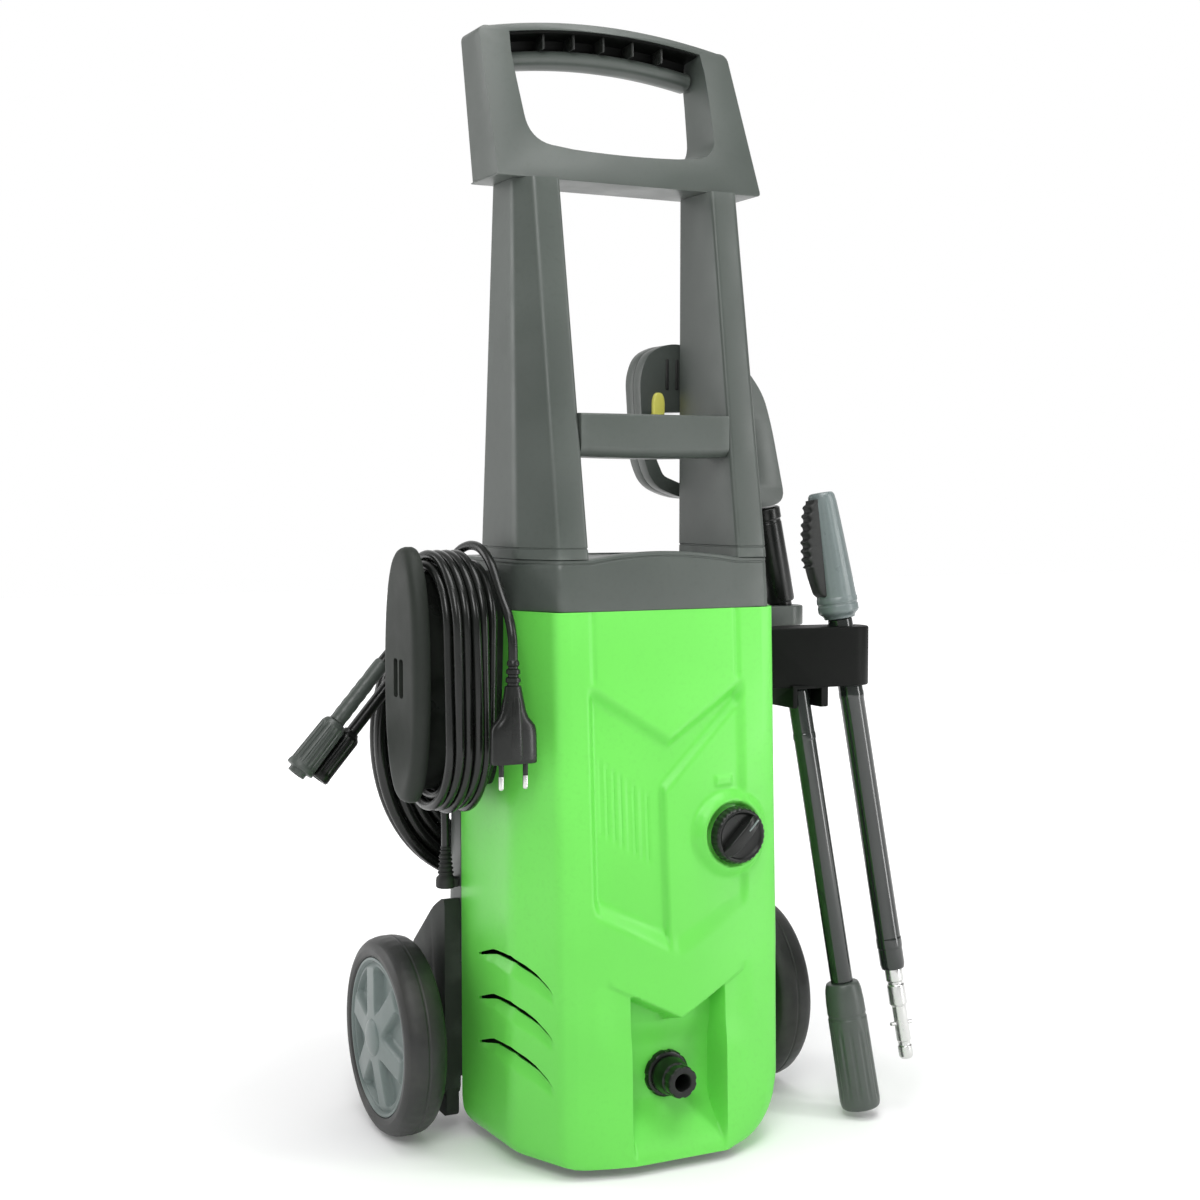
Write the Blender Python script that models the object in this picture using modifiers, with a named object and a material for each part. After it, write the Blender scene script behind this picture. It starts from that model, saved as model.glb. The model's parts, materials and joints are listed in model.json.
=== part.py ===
"""Upright two-wheeled pressure washer, in metres.

+Z is up, the front faces -Y, +X is to the right of someone facing the machine.
The origin is on the ground, on the underside of the front foot.
"""

import math

import bmesh
import bpy
from mathutils import Matrix, Vector

# ---------------------------------------------------------------- driving dimensions
GAP = 0.0003                 # clearance between touching pieces
SEAT_GAP = 0.0014            # clearance under pieces seated on the crowned sides
WALL = 0.0025                # wall of the moulded shells

SHELL_BOTTOM = 0.008
SHELL_TOP = 0.419
LEFT_CORNER = 0.014          # radius of the lower left corner, seen from the front
RIGHT_CORNER = 0.052         # radius of the lower right corner
REAR_CORNER = 0.45           # the same corners seen from the side, as a share of those radii
FRONT_HALF = 0.0905          # half width of the flat front
RECESS_HALF = 0.0365         # half width of the channel around the water inlet
RECESS_WALL = 0.004
RECESS_Y = -0.046
RECESS_TOP = 0.127

COLLAR_TOP = 0.457
CROSSBAR_LOW = 0.533
CROSSBAR_HIGH = 0.565
GRIP_LOW = 0.741
GRIP_CORNER = 0.859
GRIP_ARCH = 0.872

WHEEL_R = 0.078
WHEEL_CENTRE = 0.164         # middle of the tyre from the centre plane
AXLE_Y = 0.100
AXLE_R = 0.006

KNOB = Vector((0.049, -0.0665, 0.248))
INLET = Vector((0.0, RECESS_Y, 0.066))

HUB_Y = 0.028                # middle of the cable hook
HUB_Z = 0.366
CORD_R = 0.0035
CORD_OUTER = 0.0555               # end radius of the wound power cord, outside and inside
CORD_INNER = 0.0410
CORD_STRAIGHT = 0.0420            # half the straight length between its round ends
CORD_X = (-0.168, -0.1235)

HOSE_R = 0.005
HOSE_CENTRE = (-0.068, 0.310)
HOSE_SEMI = (0.1035, 0.132)       # outside of the wound hose
HOSE_INNER = (0.0500, 0.0785)
HOOK_ARM = (0.3705, 0.3834)       # arm that carries the wound hose
HOSE_Y = (0.1395, 0.1605)
HOSE_LEAN = Vector((-0.65, 0.0, -0.76)).normalized()
HOSE_TIP_A = Vector((-0.243, 0.100, 0.291))
HOSE_TIP_B = Vector((-0.223, 0.112, 0.285))

LANCE_DOWN = Vector((0.1235, -0.0965, -0.9876)).normalized()
TURBO = Vector((0.1905, -0.0035, 0.373))     # turbo lance axis at its bracket
SPRAY = Vector((0.148, -0.002, 0.331))       # spray lance axis at its clip

GUN_Y = 0.080
GUN_DOWN = Vector((0.203, 0.0, -0.979)).normalized()
GUN_NECK = Vector((0.1627, GUN_Y, 0.497))    # where the barrel leaves the gun body
TRIGGER_PIVOT = Vector((0.128, GUN_Y, 0.565))
LOCK_PIVOT = Vector((0.0535, GUN_Y, 0.5725))

PUMP = Vector((0.0, 0.030, 0.0))             # vertical axis of motor and pump
PISTON_CIRCLE = 0.020

# ---------------------------------------------------------------- scene and materials


def clear_scene():
    for obj in list(bpy.data.objects):
        bpy.data.objects.remove(obj, do_unlink=True)


def new_collection(name):
    made = bpy.data.collections.new(name)
    bpy.context.scene.collection.children.link(made)
    return made


def finish(name, colour, roughness, metallic=0.0):
    made = bpy.data.materials.new(name)
    made.use_nodes = True
    shader = made.node_tree.nodes["Principled BSDF"]
    shader.inputs["Base Color"].default_value = (*colour, 1.0)
    shader.inputs["Roughness"].default_value = roughness
    shader.inputs["Metallic"].default_value = metallic
    return made


clear_scene()
PARTS = new_collection("pressure_washer")
CUTTERS = new_collection("cutters")

GREEN = finish("green_plastic", (0.20, 0.82, 0.13), 0.35)
DARK = finish("dark_grey_plastic", (0.11, 0.13, 0.12), 0.50)
BLACK = finish("black_plastic", (0.012, 0.013, 0.012), 0.40)
RUBBER = finish("black_rubber", (0.02, 0.021, 0.02), 0.75)
RIM_GREY = finish("rim_plastic", (0.16, 0.20, 0.20), 0.45)
YELLOW = finish("yellow_plastic", (0.84, 0.83, 0.20), 0.40)
CHROME = finish("bright_steel", (0.80, 0.80, 0.80), 0.15, 1.0)
STEEL = finish("motor_steel", (0.45, 0.45, 0.46), 0.40, 1.0)
ALUMINIUM = finish("cast_aluminium", (0.70, 0.71, 0.72), 0.40, 1.0)
BRASS = finish("brass", (0.72, 0.53, 0.22), 0.30, 1.0)

# ---------------------------------------------------------------- shape helpers


def lerp_table(value, table):
    """Linear interpolation in a short table of (position, value) pairs."""
    if value <= table[0][0]:
        return table[0][1]
    for (low, at_low), (high, at_high) in zip(table, table[1:]):
        if value <= high:
            return at_low + (at_high - at_low) * (value - low) / (high - low)
    return table[-1][1]


def add(name, mesh, material, origin=(0, 0, 0)):
    """A part of the washer from a mesh in its own coordinates."""
    mesh.name = name
    mesh.materials.clear()
    mesh.materials.append(material)
    obj = bpy.data.objects.new(name, mesh)
    obj.location = origin
    PARTS.objects.link(obj)
    return obj


def add_cutter(name, mesh):
    obj = bpy.data.objects.new(name, mesh)
    obj.hide_render = True
    obj.display_type = "WIRE"
    CUTTERS.objects.link(obj)
    return obj


def boolean(obj, cutter, operation="DIFFERENCE"):
    modifier = obj.modifiers.new(operation.lower(), "BOOLEAN")
    modifier.operation = operation
    modifier.object = cutter
    return modifier


def bevel(obj, width, segments=2, angle=35):
    modifier = obj.modifiers.new("rounded_edges", "BEVEL")
    modifier.width = width
    modifier.segments = segments
    modifier.limit_method = "ANGLE"
    modifier.angle_limit = math.radians(angle)
    return modifier


def smooth(mesh, angle=35):
    mesh.shade_smooth()
    mesh.set_sharp_from_angle(angle=math.radians(angle))


def mesh_from(bm):
    """Mesh of a closed solid, with its faces pointing out."""
    bmesh.ops.recalc_face_normals(bm, faces=bm.faces)
    if bm.calc_volume(signed=True) < 0:
        bmesh.ops.reverse_faces(bm, faces=bm.faces)
    mesh = bpy.data.meshes.new("piece")
    bm.to_mesh(mesh)
    bm.free()
    return mesh


def box_mesh(low, high):
    bm = bmesh.new()
    bmesh.ops.create_cube(bm, size=1.0)
    size = Vector(high) - Vector(low)
    centre = (Vector(high) + Vector(low)) / 2
    bmesh.ops.scale(bm, vec=size, verts=bm.verts)
    bmesh.ops.translate(bm, vec=centre, verts=bm.verts)
    return mesh_from(bm)


def aligned(axis):
    """Rotation that takes +Z to the given axis."""
    return Vector((0, 0, 1)).rotation_difference(Vector(axis)).to_matrix().to_4x4()


def cylinder_mesh(centre, axis, radius, length, sides=24):
    bm = bmesh.new()
    bmesh.ops.create_cone(bm, cap_ends=True, segments=sides, radius1=radius, radius2=radius, depth=length)
    bmesh.ops.transform(bm, matrix=Matrix.Translation(Vector(centre)) @ aligned(axis), verts=bm.verts)
    return mesh_from(bm)


def loft_mesh(rings):
    """Closed solid through rings of equal point count, capped at both ends."""
    bm = bmesh.new()
    loops = [[bm.verts.new(point) for point in ring] for ring in rings]
    count = len(rings[0])
    for lower, upper in zip(loops, loops[1:]):
        for i in range(count):
            j = (i + 1) % count
            bm.faces.new((lower[i], lower[j], upper[j], upper[i]))
    bm.faces.new(list(reversed(loops[0])))
    bm.faces.new(loops[-1])
    return mesh_from(bm)


def sheet_mesh(rows):
    """Open surface through rows of points that run the same way round."""
    bm = bmesh.new()
    lines = [[bm.verts.new(point) for point in row] for row in rows]
    for lower, upper in zip(lines, lines[1:]):
        for i in range(len(lower) - 1):
            bm.faces.new((lower[i], lower[i + 1], upper[i + 1], upper[i]))
    mesh = bpy.data.meshes.new("sheet")
    bm.to_mesh(mesh)
    bm.free()
    return mesh


def turned(name, profile, material, origin, axis=(0, 0, 1), steps=24):
    """Turned piece: (radius, height) pairs run from the top down the outer side."""
    closed = profile[0][0] > 0
    verts = [(radius, 0.0, height) for radius, height in profile]
    edges = [(i, i + 1) for i in range(len(verts) - 1)]
    if closed:
        edges.append((len(verts) - 1, 0))
    mesh = bpy.data.meshes.new(name)
    mesh.from_pydata(verts, edges, [])
    obj = add(name, mesh, material, origin)
    obj.rotation_euler = aligned(axis).to_euler()
    screw = obj.modifiers.new("turn", "SCREW")
    screw.steps = steps
    screw.render_steps = steps
    screw.use_merge_vertices = True
    screw.merge_threshold = 0.00005
    screw.use_smooth_shade = True
    return obj


def rounded(corners, radius, steps=3):
    """Closed outline through the corners, each turned into a curve of about that radius."""
    outline = []
    count = len(corners)
    for i, corner in enumerate(corners):
        here = Vector(corner)
        before = Vector(corners[i - 1]) - here
        after = Vector(corners[(i + 1) % count]) - here
        reach = min(radius, before.length * 0.45, after.length * 0.45)
        start = here + before.normalized() * reach
        end = here + after.normalized() * reach
        for k in range(steps + 1):
            t = k / steps
            outline.append(start * (1 - t) ** 2 + here * 2 * t * (1 - t) + end * t ** 2)
    return outline


def oval(semi, count=32, power=2.0, centre=(0, 0)):
    """Superellipse outline; a power of 2 is an ellipse."""
    outline = []
    for k in range(count):
        angle = 2 * math.pi * k / count
        c, s = math.cos(angle), math.sin(angle)
        x = semi[0] * math.copysign(abs(c) ** (2 / power), c)
        y = semi[1] * math.copysign(abs(s) ** (2 / power), s)
        outline.append(Vector((centre[0] + x, centre[1] + y)))
    return outline


def stadium(radius, straight, centre, steps=14):
    """Upright outline with round ends and straight sides."""
    outline = []
    for lift, start in ((straight, 0.0), (-straight, math.pi)):
        for k in range(steps + 1):
            angle = start + math.pi * k / steps
            outline.append(Vector((centre[0] + radius * math.cos(angle),
                                   centre[1] + lift + radius * math.sin(angle))))
    return outline


def outside(centre, semi, degrees, clearance):
    """Point at a distance outside an ellipse, along its normal."""
    c, s = math.cos(math.radians(degrees)), math.sin(math.radians(degrees))
    normal = Vector((c / semi[0], s / semi[1])).normalized()
    return Vector((centre[0] + semi[0] * c, centre[1] + semi[1] * s)) + normal * clearance


PLANES = {
    "XY": lambda a, b, t: Vector((a, b, t)),
    "XZ": lambda a, b, t: Vector((a, t, b)),
    "YZ": lambda a, b, t: Vector((t, a, b)),
}


def plate_mesh(outlines, low, high, plane):
    """Flat plate between two levels; outlines after the first one are its holes."""
    curve = bpy.data.curves.new("outline", "CURVE")
    curve.dimensions = "2D"
    curve.fill_mode = "BOTH"
    curve.extrude = (high - low) / 2
    for outline in outlines:
        spline = curve.splines.new("POLY")
        spline.points.add(len(outline) - 1)
        for point, place in zip(spline.points, outline):
            point.co = (place[0], place[1], 0.0, 1.0)
        spline.use_cyclic_u = True
    carrier = bpy.data.objects.new("outline", curve)
    CUTTERS.objects.link(carrier)
    bpy.context.view_layer.update()
    evaluated = carrier.evaluated_get(bpy.context.evaluated_depsgraph_get())
    mesh = bpy.data.meshes.new_from_object(evaluated)
    bpy.data.objects.remove(carrier, do_unlink=True)
    bm = bmesh.new()
    bm.from_mesh(mesh)
    bmesh.ops.remove_doubles(bm, verts=bm.verts, dist=0.00002)
    middle = (high + low) / 2
    for vert in bm.verts:
        vert.co = PLANES[plane](vert.co.x, vert.co.y, middle + vert.co.z)
    return mesh_from(bm)


def smooth_route(route, spacing):
    """Evenly spaced points on a smooth curve through the route's own points."""
    points = [Vector(p) for p in route]
    first = points[0] * 2 - points[1]
    last = points[-1] * 2 - points[-2]
    line = [first] + points + [last]
    dense = []
    for a, b, c, d in zip(line, line[1:], line[2:], line[3:]):
        for k in range(12):
            t = k / 12
            dense.append(0.5 * (2 * b + (c - a) * t + (2 * a - 5 * b + 4 * c - d) * t * t
                                + (3 * b - a - 3 * c + d) * t ** 3))
    dense.append(points[-1])
    length = sum((q - p).length for p, q in zip(dense, dense[1:]))
    count = max(4, round(length / spacing))
    wanted = [length * k / count for k in range(count + 1)]
    result = [dense[0]]
    done = 0.0
    for p, q in zip(dense, dense[1:]):
        step = (q - p).length
        while len(result) < count and done + step >= wanted[len(result)]:
            result.append(p.lerp(q, (wanted[len(result)] - done) / step))
        done += step
    result.append(dense[-1])
    return result


def tube(name, route, radius, material, resolution=2):
    """Cord or hose along a route, with filled ends."""
    curve = bpy.data.curves.new(name, "CURVE")
    curve.dimensions = "3D"
    curve.bevel_depth = radius
    curve.bevel_resolution = resolution
    curve.render_resolution_u = 0
    curve.use_fill_caps = True
    points = smooth_route(route, radius * 5)
    spline = curve.splines.new("POLY")
    spline.points.add(len(points) - 1)
    for point, place in zip(spline.points, points):
        point.co = (*place, 1.0)
    curve.materials.append(material)
    obj = bpy.data.objects.new(name, curve)
    PARTS.objects.link(obj)
    return obj


# ---------------------------------------------------------------- body shells

FRONT_CENTRE = ((0.008, -0.075), (0.12, -0.072), (0.20, -0.067), (0.35, -0.055), (0.419, -0.049))
FRONT_EDGE = ((0.008, -0.060), (0.16, -0.0573), (0.419, -0.049))
SIDE_X = ((0.16, 0.114), (0.419, 0.108))
SIDE_Y = ((0.16, -0.012), (0.419, -0.009))
REAR_X = ((0.28, 0.117), (0.419, 0.108))
REAR_EDGE_Y = ((0.28, 0.075), (0.419, 0.027))
BACK_Y = ((0.16, 0.118), (0.419, 0.108))


def corner_inset(z, radius):
    """How far a lower corner of that radius draws in at a height."""
    rise = z - SHELL_BOTTOM
    if rise >= radius:
        return 0.0
    return radius - math.sqrt(radius ** 2 - (radius - rise) ** 2)


def drawn_in(x, z, radius):
    """Width at a height: the outer part is squeezed where the lower corners round off."""
    fixed = RECESS_HALF + RECESS_WALL
    if x <= fixed:
        return x
    half = lerp_table(z, REAR_X)
    return fixed + (x - fixed) * (half - corner_inset(z, radius) - fixed) / (half - fixed)


def front_y(x, z):
    """Front surface, crowned in the middle, with the channel around the inlet."""
    centre = lerp_table(z, FRONT_CENTRE)
    edge = lerp_table(z, FRONT_EDGE)
    if x <= RECESS_HALF and z <= RECESS_TOP:
        return RECESS_Y
    return centre + (edge - centre) * (x / FRONT_HALF) ** 2


def front_half_section(z, radius):
    """Half of the front shell's outline at a height, from the middle to the rear edge."""
    inner = (0.0, 0.020, RECESS_HALF, RECESS_HALF + RECESS_WALL, 0.060, 0.086)
    points = [(drawn_in(x, z, radius), front_y(x, z)) for x in inner]
    side_x = lerp_table(z, SIDE_X)
    side_y = lerp_table(z, SIDE_Y)
    edge_y = lerp_table(z, FRONT_EDGE)
    corner = Vector((FRONT_HALF + 0.0025, edge_y + 0.005))
    points.append((drawn_in(corner.x, z, radius), corner.y))
    points.append((drawn_in(side_x - 0.001, z, radius), side_y - 0.003))
    points.append((drawn_in(side_x + 0.0005, z, radius), side_y + 0.004))
    rear_y = lerp_table(z, REAR_EDGE_Y)
    rear_radius = REAR_CORNER * radius
    rounding = max(0.0, rear_radius - (z - SHELL_BOTTOM))
    rear_y -= rear_radius - math.sqrt(rear_radius ** 2 - rounding ** 2)
    points.append((drawn_in(lerp_table(z, REAR_X), z, radius), rear_y))
    return points


def side_surface(y, z):
    """Outer face of the body's side at a place."""
    front = lerp_table(z, SIDE_Y)
    back = lerp_table(z, REAR_EDGE_Y)
    share = min(1.0, max(0.0, (y - front) / (back - front)))
    return lerp_table(z, SIDE_X) * (1 - share) + lerp_table(z, REAR_X) * share


def solidify(obj, thickness):
    modifier = obj.modifiers.new("wall", "SOLIDIFY")
    modifier.thickness = thickness
    modifier.offset = -1.0
    modifier.use_even_offset = True
    return modifier


def vent_cutter(side, drop):
    """Tapered slot that sweeps round the lower corner of the shell."""
    stations = (
        (Vector((0.1165, 0.046)), Vector((1.0, 0.0)), 0.149, 0.0015),
        (Vector((0.1145, 0.015)), Vector((1.0, -0.05)), 0.1545, 0.0050),
        (Vector((0.1128, -0.012)), Vector((0.9, -0.4)), 0.1535, 0.0050),
        (Vector((0.1020, -0.035)), Vector((0.85, -0.5)), 0.1450, 0.0040),
        (Vector((0.0940, -0.0525)), Vector((0.8, -0.6)), 0.1335, 0.0012),
    )
    rings = []
    for place, outward, height, half in stations:
        outer = place + outward * 0.006
        inner = place - outward * 0.006
        z = height - drop
        rings.append([
            Vector((side * outer.x, outer.y, z + half)),
            Vector((side * outer.x, outer.y, z - half)),
            Vector((side * inner.x, inner.y, z - half)),
            Vector((side * inner.x, inner.y, z + half)),
        ])
    return loft_mesh(rings)


def front_shell():
    levels = (0.008, 0.0115, 0.020, 0.036, 0.063, 0.095, RECESS_TOP, RECESS_TOP + 0.007,
              0.165, 0.20, 0.25, 0.28, 0.35, SHELL_TOP - GAP)
    rows = []
    for z in levels:
        left = [Vector((-x, y, z)) for x, y in reversed(front_half_section(z, LEFT_CORNER))]
        right = [Vector((x, y, z)) for x, y in front_half_section(z, RIGHT_CORNER)[1:]]
        rows.append(left + right)
    mesh = sheet_mesh(rows)
    smooth(mesh)
    shell = add("front_shell", mesh, GREEN)
    solidify(shell, WALL)
    for side in (-1, 1):
        for row in range(3):
            boolean(shell, add_cutter("vent_cutter", vent_cutter(side, 0.0345 * row)))
    boolean(shell, add_cutter("knob_hole", cylinder_mesh(KNOB, (0, 1, 0), 0.0078, 0.05)))
    boolean(shell, add_cutter("inlet_hole", cylinder_mesh(INLET, (0, 1, 0), 0.0183, 0.03)))


def rear_half_section(z):
    """Right half of the rear shell's outline at a height, from its front edge to the middle."""
    side = lerp_table(z, REAR_X)
    back = lerp_table(z, BACK_Y)
    return [
        (side, lerp_table(z, REAR_EDGE_Y) + 2 * GAP),
        (side, back - 0.022),
        (side - 0.004, back - 0.009),
        (side - 0.014, back - 0.001),
        (side - 0.030, back),
        (0.030, back),
    ]


def rear_shell():
    rows = []
    for z in (0.1362, 0.20, 0.28, 0.35, SHELL_TOP - GAP):
        half = rear_half_section(z)
        right = [Vector((x, y, z)) for x, y in half]
        left = [Vector((-x, y, z)) for x, y in reversed(half)]
        rows.append(right + left)
    mesh = sheet_mesh(rows)
    smooth(mesh)
    shell = add("rear_shell", mesh, DARK)
    solidify(shell, WALL)


def collar_ring(z, forward, inset):
    side = 0.108 - inset
    back = 0.108 - inset
    half = [
        (0.0, forward - 0.0005 + inset),
        (0.060, forward + inset),
        (0.088 - inset, forward + 0.001 + inset),
        (side - 0.001, -0.012 + inset),
        (side, -0.005 + inset),
        (side, back - 0.022),
        (side - 0.004, back - 0.009),
        (side - 0.014, back - 0.001),
        (side - 0.030, back),
    ]
    right = [Vector((x, y, z)) for x, y in half]
    left = [Vector((-x, y, z)) for x, y in reversed(half[1:])]
    return right + left


def collar():
    rings = [collar_ring(SHELL_TOP, -0.049, 0.0), collar_ring(COLLAR_TOP - GAP, -0.045, 0.0)]
    cover = add("top_collar", loft_mesh(rings), DARK)
    hollow = [collar_ring(SHELL_TOP - 0.01, -0.049, 0.003), collar_ring(COLLAR_TOP - 0.004, -0.045, 0.003)]
    boolean(cover, add_cutter("collar_hollow", loft_mesh(hollow)))


# ---------------------------------------------------------------- handle tower


def upright(name, side):
    top = GRIP_LOW - GAP
    low = ((0.063, -0.045), (0.088, -0.045), (0.107, -0.012), (0.108, -0.006), (0.108, 0.055), (0.063, 0.050))
    high = ((0.065, 0.001), (0.087, 0.002), (0.0965, 0.018), (0.097, 0.022), (0.097, 0.056), (0.065, 0.053))
    rings = [[Vector((side * x, y, z)) for x, y in plan] for z, plan in ((COLLAR_TOP, low), (top, high))]
    post = add(name, loft_mesh(rings), DARK)
    bevel(post, 0.0015, 1)


def crossbar():
    half = 0.0632
    bar = add("crossbar", box_mesh((-half, -0.031, CROSSBAR_LOW), (half, 0.006, CROSSBAR_HIGH)), DARK)
    bevel(bar, 0.003, 2)


def grip_front(z):
    return 0.009 + (z - GRIP_LOW) * 0.373


def grip_rear(z):
    return 0.059 + (z - GRIP_LOW) * 0.246


def grip_arch(x, drop=0.0):
    """Arched top line of the handle."""
    share = (x / 0.109) ** 2
    return GRIP_ARCH - (GRIP_ARCH - GRIP_CORNER) * share - drop


def grip_frame():
    spread = (0.100, 0.066, 0.033, 0.0, -0.033, -0.066, -0.100)
    outer = [Vector((-0.113, GRIP_LOW)), Vector((0.113, GRIP_LOW)), Vector((0.115, GRIP_LOW + 0.003))]
    outer += [Vector((0.1095, 0.853)), Vector((0.106, grip_arch(0.106)))]
    outer += [Vector((x, grip_arch(x))) for x in spread]
    outer += [Vector((-0.106, grip_arch(0.106))), Vector((-0.1095, 0.853)), Vector((-0.115, GRIP_LOW + 0.003))]
    bottom = rounded([(-0.0840, 0.800), (-0.0790, 0.770), (0.0, 0.7665), (0.0790, 0.770), (0.0840, 0.800)], 0.012)
    window = bottom[4:-4]
    window += [Vector((0.0850, 0.842)), Vector((0.083, grip_arch(0.083, 0.006)))]
    window += [Vector((x, grip_arch(x, 0.006))) for x in (0.055, 0.028, 0.0, -0.028, -0.055)]
    window += [Vector((-0.083, grip_arch(0.083, 0.006))), Vector((-0.0850, 0.842))]
    mesh = plate_mesh([outer, window], 0.0, 1.0, "XZ")
    for vert in mesh.vertices:
        rear = vert.co.y > 0.5
        vert.co.y = grip_rear(vert.co.z) if rear else grip_front(vert.co.z)
    frame = add("grip_frame", mesh, DARK)
    bevel(frame, 0.002, 1, 50)


def grip_bar():
    """Rounded rear bar of the handle with the ribs of the finger recess."""
    rings = []
    for k in range(9):
        x = -0.0823 + 0.1646 * k / 8
        top = grip_arch(x, 0.006) - 0.0008
        section = ((0.0885, top), (0.0895, top - 0.016), (0.0860, top - 0.0225), (0.0790, top - 0.0245),
                   (0.0725, top - 0.0215), (0.0705, top - 0.015), (0.0745, top))
        rings.append([Vector((x, y, z)) for y, z in section])
    bar = add("grip_bar", loft_mesh(rings), RUBBER)
    for k in range(5):
        x = -0.052 + 0.026 * k
        top = grip_arch(abs(x) + 0.002, 0.006) - 0.0012
        rib = box_mesh((x - 0.0012, 0.0600, top - 0.012), (x + 0.0012, 0.0770, top))
        boolean(bar, add_cutter("grip_rib", rib), "UNION")


# ---------------------------------------------------------------- chassis and wheels


def chassis():
    start = 0.0757
    base = add("chassis", box_mesh((-0.119, start, 0.045), (0.119, 0.135, 0.1358)), DARK)
    pieces = [
        box_mesh((-0.055, -0.0425, 0.0125), (0.055, start + 0.01, 0.0188)),
        box_mesh((-0.0545, start + 0.0002, 0.0130), (0.0545, 0.1295, 0.0600)),
    ]
    fender = [(start, 0.030), (0.105, 0.030), (0.130, 0.052), (0.150, 0.100), (0.150, 0.136), (0.100, 0.178),
              (start, 0.190)]
    for side in (-1, 1):
        low, high = sorted((side * 0.1178, side * 0.1310))
        pieces.append(plate_mesh([rounded(fender, 0.008, 2)], low, high, "YZ"))
    for mesh in pieces:
        boolean(base, add_cutter("chassis_piece", mesh), "UNION")
    boolean(base, add_cutter("axle_bore", cylinder_mesh((0, AXLE_Y, WHEEL_R), (1, 0, 0), AXLE_R + GAP, 0.4)))


def front_foot():
    foot = add("front_foot", box_mesh((-0.050, -0.040, 0.0), (0.050, 0.012, 0.0122)), RUBBER)
    bevel(foot, 0.002, 1)


def axle():
    half = 0.1745
    edge = 0.001
    profile = [(0, half), (AXLE_R - edge, half), (AXLE_R, half - edge), (AXLE_R, edge - half),
               (AXLE_R - edge, -half), (0, -half)]
    turned("axle", profile, STEEL, (0, AXLE_Y, WHEEL_R), (1, 0, 0), 20)


def wheel(label, side):
    centre = (side * WHEEL_CENTRE, AXLE_Y, WHEEL_R)
    outward = (side, 0, 0)
    tread = WHEEL_R
    tyre = [(0.0624, 0.0155), (0.0715, 0.0160), (0.0757, 0.0140), (tread, 0.0085), (tread, -0.0085),
            (0.0757, -0.0140), (0.0715, -0.0160), (0.0624, -0.0155)]
    turned("tyre_" + label, tyre, RUBBER, centre, outward, 40)
    bore = AXLE_R + GAP
    rim = [(bore, 0.0112), (0.0145, 0.0112), (0.0165, 0.0060), (0.030, 0.0045), (0.052, 0.0085),
           (0.0600, 0.0150), (0.0621, 0.0150), (0.0621, -0.0150), (0.0585, -0.0150), (0.052, -0.0020),
           (0.030, -0.0050), (0.0165, -0.0055), (0.0145, -0.0185), (bore, -0.0185)]
    turned("rim_" + label, rim, RIM_GREY, centre, outward, 28)
    cap = [(0, 0.0165), (0.009, 0.0160), (0.0135, 0.0135), (0.0140, 0.0115), (0, 0.0115)]
    turned("hub_cap_" + label, cap, RIM_GREY, centre, outward, 20)


# ---------------------------------------------------------------- switch and water inlet


def knob():
    forward = (0, -1, 0)
    profile = [(0, 0.0095), (0.0190, 0.0090), (0.0210, 0.0070), (0.0220, 0.0020), (0.0220, 0),
               (0.0068, -0.0002), (0.0068, -0.0165), (0, -0.0165)]
    dial = turned("selector_knob", profile, BLACK, KNOB, forward, 32)
    ridge = box_mesh((-0.0195, -0.0038, 0.0050), (0.0195, 0.0038, 0.0140))
    ridge_obj = add_cutter("knob_ridge", ridge)
    ridge_obj.location = KNOB
    ridge_obj.rotation_euler = (aligned(forward) @ Matrix.Rotation(math.radians(45), 4, "Z")).to_euler()
    boolean(dial, ridge_obj, "UNION")


def switch_box():
    case = add("switch_box", box_mesh((0.031, -0.0495, 0.229), (0.067, -0.0240, 0.267)), BLACK)
    bevel(case, 0.002, 1)


def water_inlet():
    forward = (0, -1, 0)
    collar_profile = [(0.0105, 0.0050), (0.0165, 0.0050), (0.0180, 0.0030), (0.0180, -0.0120), (0.0150, -0.0125),
                      (0.0150, -0.0240), (0.0105, -0.0240)]
    turned("inlet_collar", collar_profile, BLACK, INLET, forward, 24)
    nose = [(0.0065, 0.0280), (0.0085, 0.0280), (0.0095, 0.0265), (0.0100, 0.0180), (0.0140, 0.0120),
            (0.0145, 0.0053), (0.0102, 0.0053), (0.0102, -0.0100), (0.0065, -0.0100)]
    turned("inlet_coupler", nose, BLACK, INLET, forward, 12)


# ---------------------------------------------------------------- motor and pump


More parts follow.
